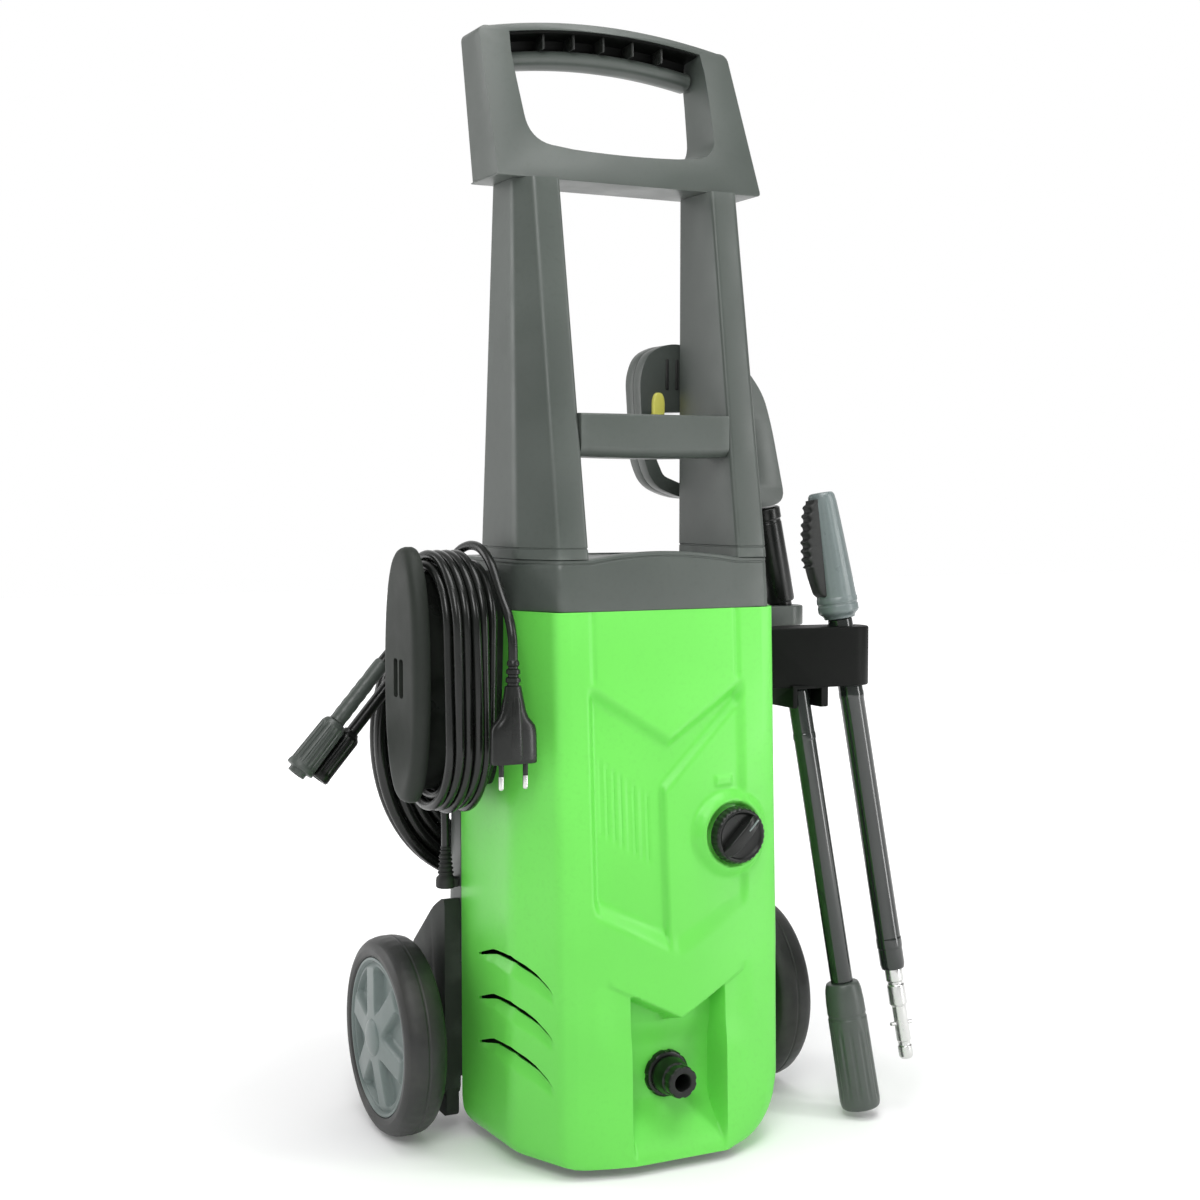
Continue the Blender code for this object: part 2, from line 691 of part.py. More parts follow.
def motor_and_pump():
    stator = [(0.0300, 0.330), (0.0520, 0.330), (0.0520, 0.220), (0.0300, 0.220)]
    turned("motor_stator", stator, STEEL, PUMP, steps=28)
    rotor = [(0, 0.372), (0.005, 0.372), (0.005, 0.327), (0.0290, 0.325), (0.0290, 0.225), (0.006, 0.223),
             (0.006, 0.180), (0, 0.180)]
    turned("motor_rotor", rotor, STEEL, PUMP, steps=20)
    fan = add("cooling_fan", cylinder_mesh(PUMP + Vector((0, 0, 0.345)), (0, 0, 1), 0.044, 0.003, 24), BLACK)
    hub = cylinder_mesh(PUMP + Vector((0, 0, 0.351)), (0, 0, 1), 0.012, 0.014, 16)
    boolean(fan, add_cutter("fan_hub", hub), "UNION")
    for k in range(6):
        blade = add_cutter("fan_blade", box_mesh((0.008, -0.001, 0.340), (0.042, 0.001, 0.362)))
        blade.location = PUMP
        blade.rotation_euler.z = math.radians(60 * k + 7)
        boolean(fan, blade, "UNION")
    bore = cylinder_mesh(PUMP + Vector((0, 0, 0.35)), (0, 0, 1), 0.005 + GAP, 0.06, 20)
    boolean(fan, add_cutter("fan_bore", bore))

    swash = cylinder_mesh(PUMP + Vector((0, 0, 0.1735)), (0, 0, 1), 0.027, 0.012, 24)
    for vert in swash.vertices:
        if vert.co.z < 0.1735:
            vert.co.z = 0.1640 + 0.16 * vert.co.x
    add("wobble_plate", swash, STEEL)

    housing = [(0.0320, 0.2195), (0.0480, 0.2195), (0.0480, 0.2120), (0.0380, 0.2050), (0.0380, 0.1355),
               (0.0320, 0.1355)]
    turned("pump_housing", housing, ALUMINIUM, PUMP, steps=24)
    head = [(0, 0.1350), (0.0380, 0.1350), (0.0380, 0.0850), (0.0200, 0.0800), (0.0200, 0.0192), (0, 0.0192)]
    block = turned("pump_head", head, ALUMINIUM, PUMP, steps=24)
    for k in range(3):
        angle = math.radians(90 + 120 * k)
        place = PUMP + Vector((math.cos(angle), math.sin(angle), 0)) * PISTON_CIRCLE
        bore = cylinder_mesh(place + Vector((0, 0, 0.125)), (0, 0, 1), 0.0064, 0.060, 20)
        boolean(block, add_cutter("cylinder_bore", bore))
        piston = [(0, 0.1585), (0.0045, 0.1585), (0.0060, 0.1570), (0.0060, 0.1060), (0, 0.1060)]
        turned("piston_%d" % (k + 1), piston, CHROME, place, steps=16)

    valve = [(0, 0.074), (0.006, 0.074), (0.006, 0.064), (0.009, 0.062), (0.009, 0.0385), (0, 0.0385)]
    turned("unloader_valve", valve, BRASS, PUMP + Vector((0, 0, 0.110)), (1, 0, 0), 16)
    can = [(0, 0.300), (0.0165, 0.300), (0.0180, 0.298), (0.0180, 0.232), (0.0165, 0.230), (0, 0.230)]
    turned("capacitor", can, RIM_GREY, (0.072, 0.082, 0.0), steps=20)
    outlet_y = lerp_table(0.19, BACK_Y) + GAP
    outlet = [(0.0045, 0.020), (0.0095, 0.020), (0.0110, 0.0185), (0.0110, 0.006), (0.0150, 0.0055),
              (0.0150, 0.0), (0.0045, 0.0)]
    turned("outlet_fitting", outlet, BRASS, (0.062, outlet_y, 0.190), (0, 1, 0), 24)


# ---------------------------------------------------------------- cable hook and power cord


def body_side(y, z):
    """Outer face of whatever makes the body's side at a height, the collar included."""
    return 0.108 if z > SHELL_TOP else side_surface(y, z)


def cable_hook():
    outline = oval((0.0190, 0.0815), 28, 2.6, (HUB_Y, HUB_Z))
    mesh = plate_mesh([outline], -0.1720, -0.1200, "YZ")
    for vert in mesh.vertices:
        if vert.co.x > -0.15:
            vert.co.x = -(body_side(vert.co.y, vert.co.z) + SEAT_GAP)
    add("cable_hook_hub", mesh, BLACK)
    board = plate_mesh([oval((0.035, 0.0955), 36, 2.3, (HUB_Y, 0.3705))], -0.1857, -0.1723, "YZ")
    plate = add("cable_hook_plate", board, DARK)
    bevel(plate, 0.0045, 2, 60)
    for low, high in ((0.0180, 0.0265), (0.0295, 0.0380)):
        pocket = box_mesh((-0.20, low, 0.3540), (-0.1790, high, 0.3830))
        boolean(plate, add_cutter("hook_pocket", pocket))


def power_cord():
    place = (HUB_Y, HUB_Z)
    ring = [stadium(radius, CORD_STRAIGHT, place) for radius in (CORD_OUTER, CORD_INNER)]
    add("power_cord_coil", plate_mesh(ring, CORD_X[0], CORD_X[1], "YZ"), BLACK)

    relief_x = -0.1262
    relief = [(0, 0.2275), (0.0042, 0.2275), (0.0050, 0.2120), (0.0070, 0.2030), (0.0070, 0.1950), (0, 0.1950)]
    gland = turned("cable_gland", relief, BLACK, (relief_x, 0.085, 0.0), steps=16)
    base = box_mesh((relief_x, 0.0800, 0.1955), (-0.1173, 0.0900, 0.2020))
    boolean(gland, add_cutter("gland_base", base), "UNION")

    x = relief_x
    supply = [(x, 0.0850, 0.2281), (x, 0.0850, 0.2400), (x - 0.0004, 0.0863, 0.2700), (x - 0.0010, 0.0880, 0.3000),
              (x - 0.0013, 0.0884, 0.3300)]
    tube("power_cord_supply", supply, CORD_R, BLACK)
    x = -0.1275
    bend = (HUB_Y, HUB_Z + CORD_STRAIGHT)
    semi = (CORD_OUTER, CORD_OUTER)
    tail = [(x, *outside(bend, semi, degrees, CORD_R + 0.0011)) for degrees in (90, 105, 120, 136)]
    tail += [(x, -0.0300, 0.4310), (x, -0.0430, 0.4170), (x, -0.0500, 0.4020), (x, -0.0510, 0.3856)]
    tube("power_cord_tail", tail, CORD_R, BLACK)


def plug():
    centre = Vector((-0.1275, -0.0510))
    sections = ((0.3850, 0.0046, 0.0046), (0.3700, 0.0050, 0.0050), (0.3585, 0.0065, 0.0058),
                (0.3450, 0.0125, 0.0068), (0.3330, 0.0170, 0.0072), (0.3115, 0.0178, 0.0072))
    rings = []
    for z, wide, deep in sections:
        rings.append([Vector((p.x, p.y, z)) for p in oval((wide, deep), 16, 2.8, centre)])
    add("plug_body", loft_mesh(rings), BLACK)
    for label, offset in (("left", -0.0095), ("right", 0.0095)):
        pin = [(0, 0.3112), (0.0020, 0.3112), (0.0020, 0.2935), (0.0012, 0.2925), (0, 0.2925)]
        turned("plug_pin_" + label, pin, CHROME, (centre.x + offset, centre.y, 0), steps=12)


# ---------------------------------------------------------------- hose


def hose_hook():
    under, top = HOOK_ARM
    foot = [(lerp_table(z, BACK_Y) + 0.0004, z) for z in (0.298, 0.358)]
    profile = foot + [(0.1300, top), (0.1640, top), (0.1640, 0.4490), (0.1720, 0.4490), (0.1720, under),
                      (0.1380, under), (0.1300, 0.338), (0.1250, 0.298)]
    add("hose_hook", plate_mesh([profile], -0.085, -0.051, "YZ"), DARK)


def hose():
    ring = [oval(HOSE_SEMI, 48, 2.0, HOSE_CENTRE), oval(HOSE_INNER, 48, 2.0, HOSE_CENTRE)]
    add("hose_coil", plate_mesh(ring, HOSE_Y[0], HOSE_Y[1], "XZ"), BLACK)

    sleeve_back = HOSE_TIP_A - HOSE_LEAN * 0.110
    end_a = []
    for degrees, y in ((84, 0.1553), (94, 0.1553), (104, 0.1540)):
        x, z = outside(HOSE_CENTRE, HOSE_SEMI, degrees, HOSE_R + 0.0008)
        end_a.append((x, y, z))
    end_a += [(-0.1210, 0.1465, 0.4370), (-0.1370, 0.1310, 0.4245), (-0.1470, 0.1150, 0.4085)]
    end_a += [tuple(sleeve_back - HOSE_LEAN * reach) for reach in (0.027, 2 * GAP)]
    tube("hose_end_a", end_a, HOSE_R, BLACK)
    up = -HOSE_LEAN
    sleeve = [(0, 0.1095), (0.0052, 0.1095), (0.0057, 0.1080), (0.0060, 0.0510), (0, 0.0510)]
    turned("hose_sleeve_a", sleeve, DARK, HOSE_TIP_A, up, 16)
    nut = [(0, 0.0506), (0.0085, 0.0506), (0.0100, 0.0470), (0.0108, 0.0100), (0.0108, 0.0052), (0.0072, 0.0050),
           (0.0072, 0.0), (0.0050, 0.0), (0.0050, 0.0120), (0, 0.0120)]
    turned("hose_nut_a", nut, DARK, HOSE_TIP_A, up, 20)

    nut_back = HOSE_TIP_B - HOSE_LEAN * 0.0455
    end_b = []
    for degrees, y in ((78, 0.1443), (88, 0.1435)):
        x, z = outside(HOSE_CENTRE, HOSE_SEMI, degrees, HOSE_R + 0.0012)
        end_b.append((x, y, z))
    end_b += [(-0.0880, 0.1390, 0.4460), (-0.1045, 0.1300, 0.4340), (-0.1180, 0.1210, 0.4160)]
    end_b += [tuple(nut_back - HOSE_LEAN * reach) for reach in (0.085, 0.060, 0.035, 0.010, 2 * GAP)]
    tube("hose_end_b", end_b, HOSE_R, BLACK)
    nut = [(0, 0.0452), (0.0065, 0.0452), (0.0095, 0.0410), (0.0095, 0.0010), (0.0085, 0.0), (0.0055, 0.0),
           (0.0055, 0.0110), (0, 0.0110)]
    turned("hose_nut_b", nut, BLACK, HOSE_TIP_B, up, 20)


# ---------------------------------------------------------------- lances


def lance_bracket():
    around = [Vector((TURBO.x, TURBO.y)) + Vector((math.cos(a), math.sin(a))) * 0.0185
              for a in (math.radians(d) for d in (100, 75, 50, 25, 0, -25, -50, -75, -100))]
    outline = [Vector((0.112, -0.008)), Vector((0.112, 0.020)), Vector((0.160, 0.0195))]
    outline += around
    outline += [Vector((0.160, -0.0200))]
    mesh = plate_mesh([outline], 0.350, 0.398, "XY")
    for vert in mesh.vertices:
        if vert.co.x < 0.12:
            vert.co.x = side_surface(vert.co.y, vert.co.z) + SEAT_GAP
    bracket = add("lance_bracket", mesh, BLACK)
    clip = box_mesh((0.131, -0.0175, 0.334), (0.165, 0.0170, 0.352))
    boolean(bracket, add_cutter("clip_block", clip), "UNION")
    boolean(bracket, add_cutter("turbo_bore", cylinder_mesh(TURBO, LANCE_DOWN, 0.0112, 0.12)))
    top = SPRAY - LANCE_DOWN * 0.0065
    slot = cylinder_mesh(top, LANCE_DOWN, 0.0100, 0.0260)
    boolean(bracket, add_cutter("spray_bore", slot))
    mouth = box_mesh((top.x - 0.0120, -0.05, 0.32), (top.x + 0.0110, top.y, 0.3493))
    boolean(bracket, add_cutter("spray_mouth", mouth))


def turbo_lance():
    up = -LANCE_DOWN
    barrel = [(0, 0.0307), (0.0100, 0.0307), (0.0100, -0.2600), (0, -0.2600)]
    turned("turbo_lance_tube", barrel, BLACK, TURBO, up, 20)
    head = [(0, 0.1350), (0.0090, 0.1350), (0.0110, 0.1320), (0.0155, 0.0750), (0.0165, 0.0460),
            (0.0165, 0.0370), (0.0140, 0.0345), (0.0125, 0.0310), (0, 0.0310)]
    nozzle = turned("turbo_nozzle", head, DARK, TURBO, up, 24)
    strip = add_cutter("nozzle_grip", box_mesh((-0.0235, -0.0080, 0.0480), (-0.0080, 0.0080, 0.1200)))
    strip.location = TURBO
    strip.rotation_euler = aligned(up).to_euler()
    boolean(nozzle, strip, "UNION")
    tail = [(0, -0.2603), (0.0072, -0.2603), (0.0072, -0.2900), (0.0058, -0.2915), (0.0058, -0.3330),
            (0.0045, -0.3350), (0, -0.3350)]
    bayonet = turned("turbo_bayonet", tail, CHROME, TURBO, up, 16)
    pin = cylinder_mesh(TURBO + LANCE_DOWN * 0.306, (1, 0, 0), 0.0016, 0.0210, 10)
    boolean(bayonet, add_cutter("bayonet_pin", pin), "UNION")


def spray_lance():
    up = -LANCE_DOWN
    barrel = [(0, 0.0170), (0.0090, 0.0170), (0.0090, -0.2245), (0, -0.2245)]
    turned("spray_lance_tube", barrel, BLACK, SPRAY, up, 20)
    sleeve = [(0, -0.2248), (0.0115, -0.2248), (0.0135, -0.2290), (0.0145, -0.2600), (0.0145, -0.3240),
              (0.0130, -0.3275), (0, -0.3275)]
    turned("spray_lance_sleeve", sleeve, BLACK, SPRAY, up, 20)


# ---------------------------------------------------------------- spray gun


def gun():
    low, high = GUN_Y - 0.014, GUN_Y + 0.014
    outer = [(0.0370, 0.600), (0.0440, 0.619), (0.0640, 0.628), (0.1000, 0.624), (0.1350, 0.612),
             (0.1545, 0.588), (0.1630, 0.560), (0.1765, 0.4985), (0.1480, 0.4925), (0.1200, 0.5000),
             (0.0750, 0.5020), (0.0500, 0.5120), (0.0400, 0.5350), (0.0390, 0.5650)]
    window = [(0.0460, 0.5770), (0.1180, 0.5790), (0.1350, 0.5740), (0.1400, 0.5500), (0.1410, 0.5150),
              (0.1180, 0.5110), (0.0800, 0.5120), (0.0590, 0.5200), (0.0520, 0.5350), (0.0460, 0.5500)]
    mesh = plate_mesh([rounded(outer, 0.010, 2), rounded(window, 0.004, 1)], low, high, "XZ")
    add("gun_body", mesh, DARK)

    up = -GUN_DOWN
    barrel = [(0, -0.0045), (0.0125, -0.0045), (0.0125, -0.0850), (0.0095, -0.0850), (0.0095, -0.1150),
              (0.0060, -0.1150), (0.0060, -0.0950), (0, -0.0950)]
    turned("gun_barrel", barrel, BLACK, GUN_NECK, up, 20)

    lever = [(0.1320, 0.5700), (0.1320, 0.5600), (0.1200, 0.5480), (0.0950, 0.5430), (0.0680, 0.5420),
             (0.0640, 0.5480), (0.0700, 0.5550), (0.0950, 0.5570), (0.1150, 0.5660), (0.1240, 0.5710)]
    lever = [(a - TRIGGER_PIVOT.x, b - TRIGGER_PIVOT.z) for a, b in lever]
    trigger = plate_mesh([rounded(lever, 0.003, 1)], -0.008, 0.008, "XZ")
    add("gun_trigger", trigger, BLACK, TRIGGER_PIVOT)

    tab = oval((0.0042, 0.0072), 16, 2.4, (0.0, -0.0045))
    add("gun_trigger_lock", plate_mesh([tab], -0.0065, 0.0065, "XZ"), YELLOW, LOCK_PIVOT)


def gun_holder():
    seat = GUN_NECK + GUN_DOWN * 0.095
    around = [Vector((seat.x, seat.y)) + Vector((math.cos(a), math.sin(a))) * 0.0175
              for a in (math.radians(d) for d in (110, 80, 50, 20, -10, -40, -70, -100))]
    outline = [Vector((0.110, 0.060)), Vector((0.110, 0.083)), Vector((0.160, 0.0930))]
    outline += around
    mesh = plate_mesh([outline], 0.394, 0.4106, "XY")
    for vert in mesh.vertices:
        if vert.co.x < 0.12:
            vert.co.x = lerp_table(vert.co.z, REAR_X) + 2 * GAP
    holder = add("gun_holder", mesh, DARK)
    boolean(holder, add_cutter("gun_seat", cylinder_mesh(seat, GUN_DOWN, 0.0105, 0.06)))


def build():
    front_shell()
    rear_shell()
    collar()
    upright("upright_left", -1)
    upright("upright_right", 1)
    crossbar()
    grip_frame()
    grip_bar()
    chassis()
    front_foot()
    axle()
    wheel("left", -1)
    wheel("right", 1)
    knob()
    switch_box()
    water_inlet()
    motor_and_pump()
    cable_hook()
    power_cord()
    plug()
    hose_hook()
    hose()
    lance_bracket()
    turbo_lance()
    spray_lance()
    gun()
    gun_holder()


build()
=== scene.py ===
"""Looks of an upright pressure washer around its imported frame. Metres, +Z up, front to -Y."""

import json
import math
import random

import bmesh
import bpy
from mathutils import Matrix, Vector


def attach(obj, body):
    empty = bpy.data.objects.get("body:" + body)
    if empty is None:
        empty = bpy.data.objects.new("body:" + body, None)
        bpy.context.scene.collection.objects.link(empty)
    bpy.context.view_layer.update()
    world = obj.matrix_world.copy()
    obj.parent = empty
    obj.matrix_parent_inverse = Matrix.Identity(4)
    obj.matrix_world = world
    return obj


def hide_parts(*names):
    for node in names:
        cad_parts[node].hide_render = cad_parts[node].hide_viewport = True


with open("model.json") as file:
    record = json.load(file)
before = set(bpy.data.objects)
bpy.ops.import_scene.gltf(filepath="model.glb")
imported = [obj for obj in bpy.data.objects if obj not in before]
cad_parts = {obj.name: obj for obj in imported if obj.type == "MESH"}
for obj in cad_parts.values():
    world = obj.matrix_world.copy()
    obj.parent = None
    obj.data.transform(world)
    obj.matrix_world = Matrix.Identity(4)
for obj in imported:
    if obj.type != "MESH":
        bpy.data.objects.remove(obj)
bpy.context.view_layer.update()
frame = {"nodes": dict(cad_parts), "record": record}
BODY_OF = {node: body for body, nodes in frame["record"]["behaviour"]["bodies"].items() for node in nodes}
DICE = random.Random(7)

# Sizes shared with the CAD

SHELL_BOTTOM = 0.008
SHELL_TOP = 0.419
LEFT_CORNER = 0.014
RIGHT_CORNER = 0.052
WALL = 0.0025
FRONT_HALF = 0.0905
RECESS_HALF = 0.0365
RECESS_WALL = 0.004
RECESS_Y = -0.046
COLLAR_TOP = 0.457
COLLAR_HALF = 0.108
GRIP_LOW = 0.741
GRIP_RIM = 0.006
WHEEL_R = 0.078
WHEEL_CENTRE = 0.164
AXLE_Y = 0.100
RIM_BULGE = 0.0042
KNOB = Vector((0.049, -0.0665, 0.248))
INLET = Vector((0.0, RECESS_Y, 0.066))
HUB_Y = 0.028
HUB_Z = 0.366
GLAND_X = -0.1262
GLAND_Y = 0.0850
CORD_R = 0.0035
CORD_STRAIGHT = 0.042
HOSE_R = 0.005
HOSE_CENTRE = (-0.068, 0.310)
HOSE_SEMI = (0.0985, 0.127)
FRONT_LAYER = 0.1447
REAR_LAYER = 0.1555
HOSE_LEAN = Vector((-0.65, 0.0, -0.76)).normalized()
SLEEVE_LENGTH = 0.110
NUT_LENGTH = 0.0455
HOSE_TIP_A = Vector((-0.243, 0.100, 0.291))
HOSE_TIP_B = Vector((-0.223, 0.112, 0.285))
LANCE_DOWN = Vector((0.1235, -0.0965, -0.9876)).normalized()
TURBO = Vector((0.1905, -0.0035, 0.373))
SPRAY = Vector((0.148, -0.002, 0.331))
SIDES = (("left", -1), ("right", 1))
GUN_Y = 0.080
GUN_HALF = 0.014
SEAM = 0.00025
GUN_DOWN = Vector((0.203, 0.0, -0.979)).normalized()
GUN_NECK = Vector((0.1627, GUN_Y, 0.497))
LOCK_PIVOT = Vector((0.0535, GUN_Y, 0.5725))
FRONT_CENTRE = ((0.008, -0.075), (0.12, -0.072), (0.20, -0.067), (0.35, -0.055), (0.419, -0.049))
FRONT_EDGE = ((0.008, -0.060), (0.16, -0.0573), (0.419, -0.049))
SIDE_X = ((0.16, 0.114), (0.419, 0.108))
SIDE_Y = ((0.16, -0.012), (0.419, -0.009))
REAR_X = ((0.28, 0.117), (0.419, 0.108))
REAR_EDGE_Y = ((0.28, 0.075), (0.419, 0.027))
BACK_Y = ((0.16, 0.118), (0.419, 0.108))

# Camera, light, floor

CAMERA_LENS = 54.2
CAMERA_PLACE = (-0.648, -1.233, 0.503)
CAMERA_DIP = 3.27
CAMERA_TURN = -26.53
BACKDROP_WAY = (0.4467, 0.8947, 0.0)


def linked(name, data):
    obj = bpy.data.objects.new(name, data)
    bpy.context.scene.collection.objects.link(obj)
    return obj


def camera():
    data = bpy.data.cameras.new("camera")
    data.lens = CAMERA_LENS
    data.sensor_width = 36.0
    made = linked("camera", data)
    made.location = CAMERA_PLACE
    made.rotation_euler = (math.radians(90 - CAMERA_DIP), 0.0, math.radians(CAMERA_TURN))
    bpy.context.scene.camera = made


def softbox(name, place, target, width, height, power):
    data = bpy.data.lights.new(name, "AREA")
    data.shape = "RECTANGLE"
    data.size = width
    data.size_y = height
    data.energy = power
    made = linked(name, data)
    made.location = place
    made.rotation_euler = (Vector(target) - Vector(place)).to_track_quat("-Z", "Y").to_euler()


def studio():
    world = bpy.data.worlds.new("studio")
    world.use_nodes = True
    tree = world.node_tree
    background = tree.nodes["Background"]
    background.inputs["Color"].default_value = (1.0, 1.0, 1.0, 1.0)
    outward = tree.nodes.new("ShaderNodeTexCoord").outputs["Generated"]
    toward_backdrop = tree.nodes.new("ShaderNodeVectorMath")
    toward_backdrop.operation = "DOT_PRODUCT"
    toward_backdrop.inputs[1].default_value = BACKDROP_WAY
    tree.links.new(outward, toward_backdrop.inputs[0])
    bright = tree.nodes.new("ShaderNodeMapRange")
    for name, number in (("From Min", 0.60), ("From Max", 0.88), ("To Min", 0.37), ("To Max", 1.0)):
        bright.inputs[name].default_value = number
    tree.links.new(toward_backdrop.outputs["Value"], bright.inputs["Value"])
    tree.links.new(bright.outputs["Result"], background.inputs["Strength"])
    bpy.context.scene.world = world
    bpy.context.scene.view_settings.view_transform = "Standard"
    middle = (0.0, 0.0, 0.42)
    softbox("key_light", (-1.0, -1.6, 1.9), middle, 0.9, 1.1, 25)
    softbox("left_light", (-1.5, 1.4, 1.1), middle, 0.8, 1.6, 13)
    softbox("strip_light", (1.3, -1.2, 0.7), (0.15, 0.0, 0.35), 0.30, 1.6, 12)
    softbox("top_light", (0.1, -0.3, 2.2), middle, 1.2, 1.2, 24)
    bpy.ops.mesh.primitive_grid_add(x_subdivisions=4, y_subdivisions=4, size=16.0, location=(0, 0, -0.0004))
    floor = bpy.context.object
    floor.name = "floor"
    paint = Nodes("floor_paint")
    distance = paint.tree.nodes.new("ShaderNodeVectorMath")
    distance.operation = "LENGTH"
    paint.link(paint.coord, distance.inputs[0])
    glow = paint.range(distance.outputs["Value"], 0.35, 1.7, 0.10, 0.85)
    paint.link(glow, paint.shader.inputs["Emission Strength"])
    paint.shader.inputs["Emission Color"].default_value = (1.0, 1.0, 1.0, 1.0)
    paint.shader.inputs["Base Color"].default_value = (0.86, 0.86, 0.86, 1.0)
    paint.shader.inputs["Roughness"].default_value = 0.85
    floor.data.materials.append(paint.material)


# Finishes


class Nodes:
    """Short way to build a material's nodes."""

    def __init__(self, name):
        self.material = bpy.data.materials.new(name)
        self.material.use_nodes = True
        self.tree = self.material.node_tree
        self.shader = self.tree.nodes["Principled BSDF"]
        self.coord = self.tree.nodes.new("ShaderNodeTexCoord").outputs["Object"]

    def link(self, source, target):
        self.tree.links.new(source, target)

    def stretch(self, scale):
        node = self.tree.nodes.new("ShaderNodeMapping")
        node.inputs["Scale"].default_value = scale
        self.link(self.coord, node.inputs["Vector"])
        return node.outputs["Vector"]

    def noise(self, scale, detail=3.0, vector=None):
        node = self.tree.nodes.new("ShaderNodeTexNoise")
        node.inputs["Scale"].default_value = scale
        node.inputs["Detail"].default_value = detail
        self.link(vector or self.coord, node.inputs["Vector"])
        return node.outputs["Fac"]

    def range(self, value, low, high, to_low, to_high):
        node = self.tree.nodes.new("ShaderNodeMapRange")
        for name, number in (("From Min", low), ("From Max", high), ("To Min", to_low), ("To Max", to_high)):
            node.inputs[name].default_value = number
        self.link(value, node.inputs["Value"])
        return node.outputs["Result"]

    def mix(self, share, first, second):
        node = self.tree.nodes.new("ShaderNodeMix")
        node.data_type = "RGBA"
        self.link(share, node.inputs["Factor"])
        for socket, value in ((node.inputs[6], first), (node.inputs[7], second)):
            if isinstance(value, tuple):
                socket.default_value = (*value, 1.0)
            else:
                self.link(value, socket)
        return node.outputs[2]

    def times(self, first, second):
        node = self.tree.nodes.new("ShaderNodeMath")
        node.operation = "MULTIPLY"
        self.link(first, node.inputs[0])
        self.link(second, node.inputs[1])
        return node.outputs[0]

    def bump(self, height, distance, strength=1.0, below=None):
        node = self.tree.nodes.new("ShaderNodeBump")
        node.inputs["Distance"].default_value = distance
        node.inputs["Strength"].default_value = strength
        self.link(height, node.inputs["Height"])
        if below is not None:
            self.link(below, node.inputs["Normal"])
        return node.outputs["Normal"]

    def edges(self):
        geometry = self.tree.nodes.new("ShaderNodeNewGeometry")
        return self.range(geometry.outputs["Pointiness"], 0.53, 0.62, 0.0, 1.0)


def finish(name, colour, roughness, grain=900.0, grain_depth=0.00003, swing=0.08, tone=0.08, metallic=0.0,
           wear=None, wear_share=0.5, brushed=None, wave_depth=0.00012, dust=None, specular=0.5):
    """Moulded, rubbed or brushed surface: broad tone, mottle, worn edges, grain and uneven gloss."""
    n = Nodes(name)
    darker = tuple(c * (1 - tone) for c in colour)
    lighter = tuple(min(1.0, c * (1 + tone)) for c in colour)
    broad = n.range(n.noise(7.0, 2.0), 0.35, 0.65, 0.0, 1.0)
    base = n.mix(broad, darker, lighter)
    speck = n.range(n.noise(260.0, 2.0), 0.52, 0.72, 0.0, 0.35)
    base = n.mix(speck, base, tuple(c * (1 - 1.6 * tone) for c in colour))
    if wear:
        patch = n.range(n.noise(45.0, 4.0), 0.42, 0.62, 0.15, 1.0)
        rubbed = n.times(n.edges(), patch)
        rubbed = n.range(rubbed, 0.0, 1.0, 0.0, wear_share)
        base = n.mix(rubbed, base, wear)
    if dust:
        settled = n.range(n.noise(30.0, 5.0), 0.48, 0.75, 0.0, 0.45)
        base = n.mix(settled, base, dust)
    n.link(base, n.shader.inputs["Base Color"])
    gloss_noise = n.noise(22.0, 5.0)
    n.link(n.range(gloss_noise, 0.3, 0.7, max(0.03, roughness - swing), roughness + swing),
           n.shader.inputs["Roughness"])
    vector = n.stretch(brushed) if brushed else None
    waves = n.bump(n.noise(28.0, 1.0), wave_depth, 0.5)
    normal = n.bump(n.noise(grain, 2.0, vector), grain_depth, 0.8, waves)
    n.link(normal, n.shader.inputs["Normal"])
    n.shader.inputs["Metallic"].default_value = metallic
    n.shader.inputs["Specular IOR Level"].default_value = specular
    return n.material


DARK = "dark_grey_plastic"
BLACK = "black_plastic"

